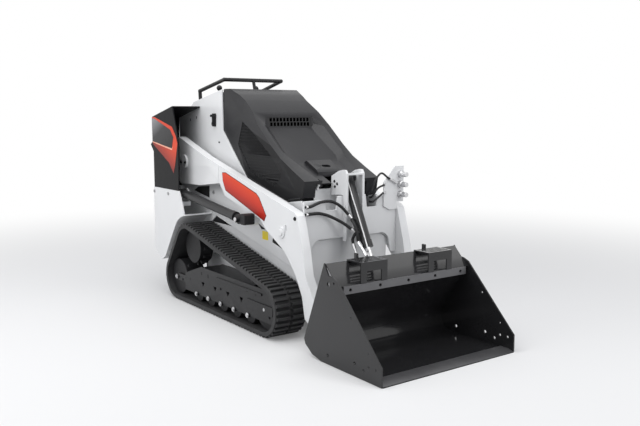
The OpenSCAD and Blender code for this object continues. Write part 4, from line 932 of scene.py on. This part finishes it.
lines = [tube(curve_through([(0.525, -0.056, 0.690), (0.556, -0.060, 0.664), (0.578, -0.060, 0.620), (0.584, -0.056, 0.572)],
                            6), 0.0085, 16),
         tube(curve_through([(0.559, -0.058, 0.616), (0.556, -0.066, 0.600), (0.550, -0.070, 0.580), (0.555, -0.070, 0.558)],
                            6), 0.0085, 16)]
piece_of("tilt_lines", mesh_of("tilt_lines", lines), hose_rubber, "tilt_barrel", "rubber")
piece_of("tilt_fittings", mesh_of("tilt_fittings", fittings), bright_steel, "tilt_barrel", "steel")

# Bucket: bent and welded sheet in gloss black powder coat, with a ground steel edge.

powder_black = finish("powder_black", (0.016, 0.016, 0.017), 0.17, coat=0.35, mottle=0.10, grain=260.0, bump=0.02, sheen=0.3)
lip_grey = finish("lip_grey", (0.13, 0.13, 0.135), 0.30, metal=0.4, mottle=0.08, grain=300.0, bump=0.03)
softened("attach_plate", "attach_frame", powder_black, "bucket_paint", 0.002)
softened("latch_levers", "latch_handles", powder_black, "bucket_paint", 0.002)
bucket_body = softened("bucket_shell", "bucket_body", powder_black, "bucket_paint", 0.0)
softened("bucket_lip", "lip_strip", lip_grey, "steel", 0.001)
softened("bucket_steps", "bucket_treads", powder_black, "bucket_paint", 0.001)



def drilled(piece, drill):
    """Takes a mesh of closed bits out of a piece, and leaves it a plain mesh."""
    bit = bpy.data.objects.new("bit", drill)
    scene.collection.objects.link(bit)
    cut = piece.modifiers.new("holes", "BOOLEAN")
    cut.object = bit
    cut.operation = "DIFFERENCE"
    cut.solver = "EXACT"
    bpy.context.view_layer.update()
    sheet = bpy.context.evaluated_depsgraph_get()
    mesh = bpy.data.meshes.new_from_object(piece.evaluated_get(sheet), depsgraph=sheet)
    piece.modifiers.remove(cut)
    piece.data = mesh
    bpy.data.objects.remove(bit)


# holes drilled through the cheeks, and the worn edge plate along the floor's front
CHEEK_HOLES = [(0.869, 0.430, 0.012), (0.915, 0.442, 0.006), (1.057, 0.293, 0.006), (1.196, 0.145, 0.005),
               (0.862, 0.050, 0.009), (1.088, 0.069, 0.009), (1.197, 0.076, 0.007), (1.158, 0.050, 0.008),
               (1.251, 0.077, 0.007)]
CHEEK_FACE = 0.478
drilled(bucket_body, mesh_of("drill", [turned_part([(r, -0.012), (r, 0.004)], (x, sign * CHEEK_FACE, z),
                                                   (0, sign, 0), 24)
                                       for sign in (-1, 1) for x, z, r in CHEEK_HOLES]))
edge_grey = finish("edge_grey", (0.10, 0.10, 0.104), 0.34, metal=0.5, mottle=0.15, grain=300.0, bump=0.04)
edge_outline = [(1.206, 0.008), (1.278, 0.0085), (1.296, 0.0030), (1.2965, 0.0060), (1.262, 0.0165), (1.206, 0.0165)]
piece_of("edge_plate", mesh_of("edge_plate", [prism(edge_outline, -0.468, 0.468)]), edge_grey, "bucket", "steel")
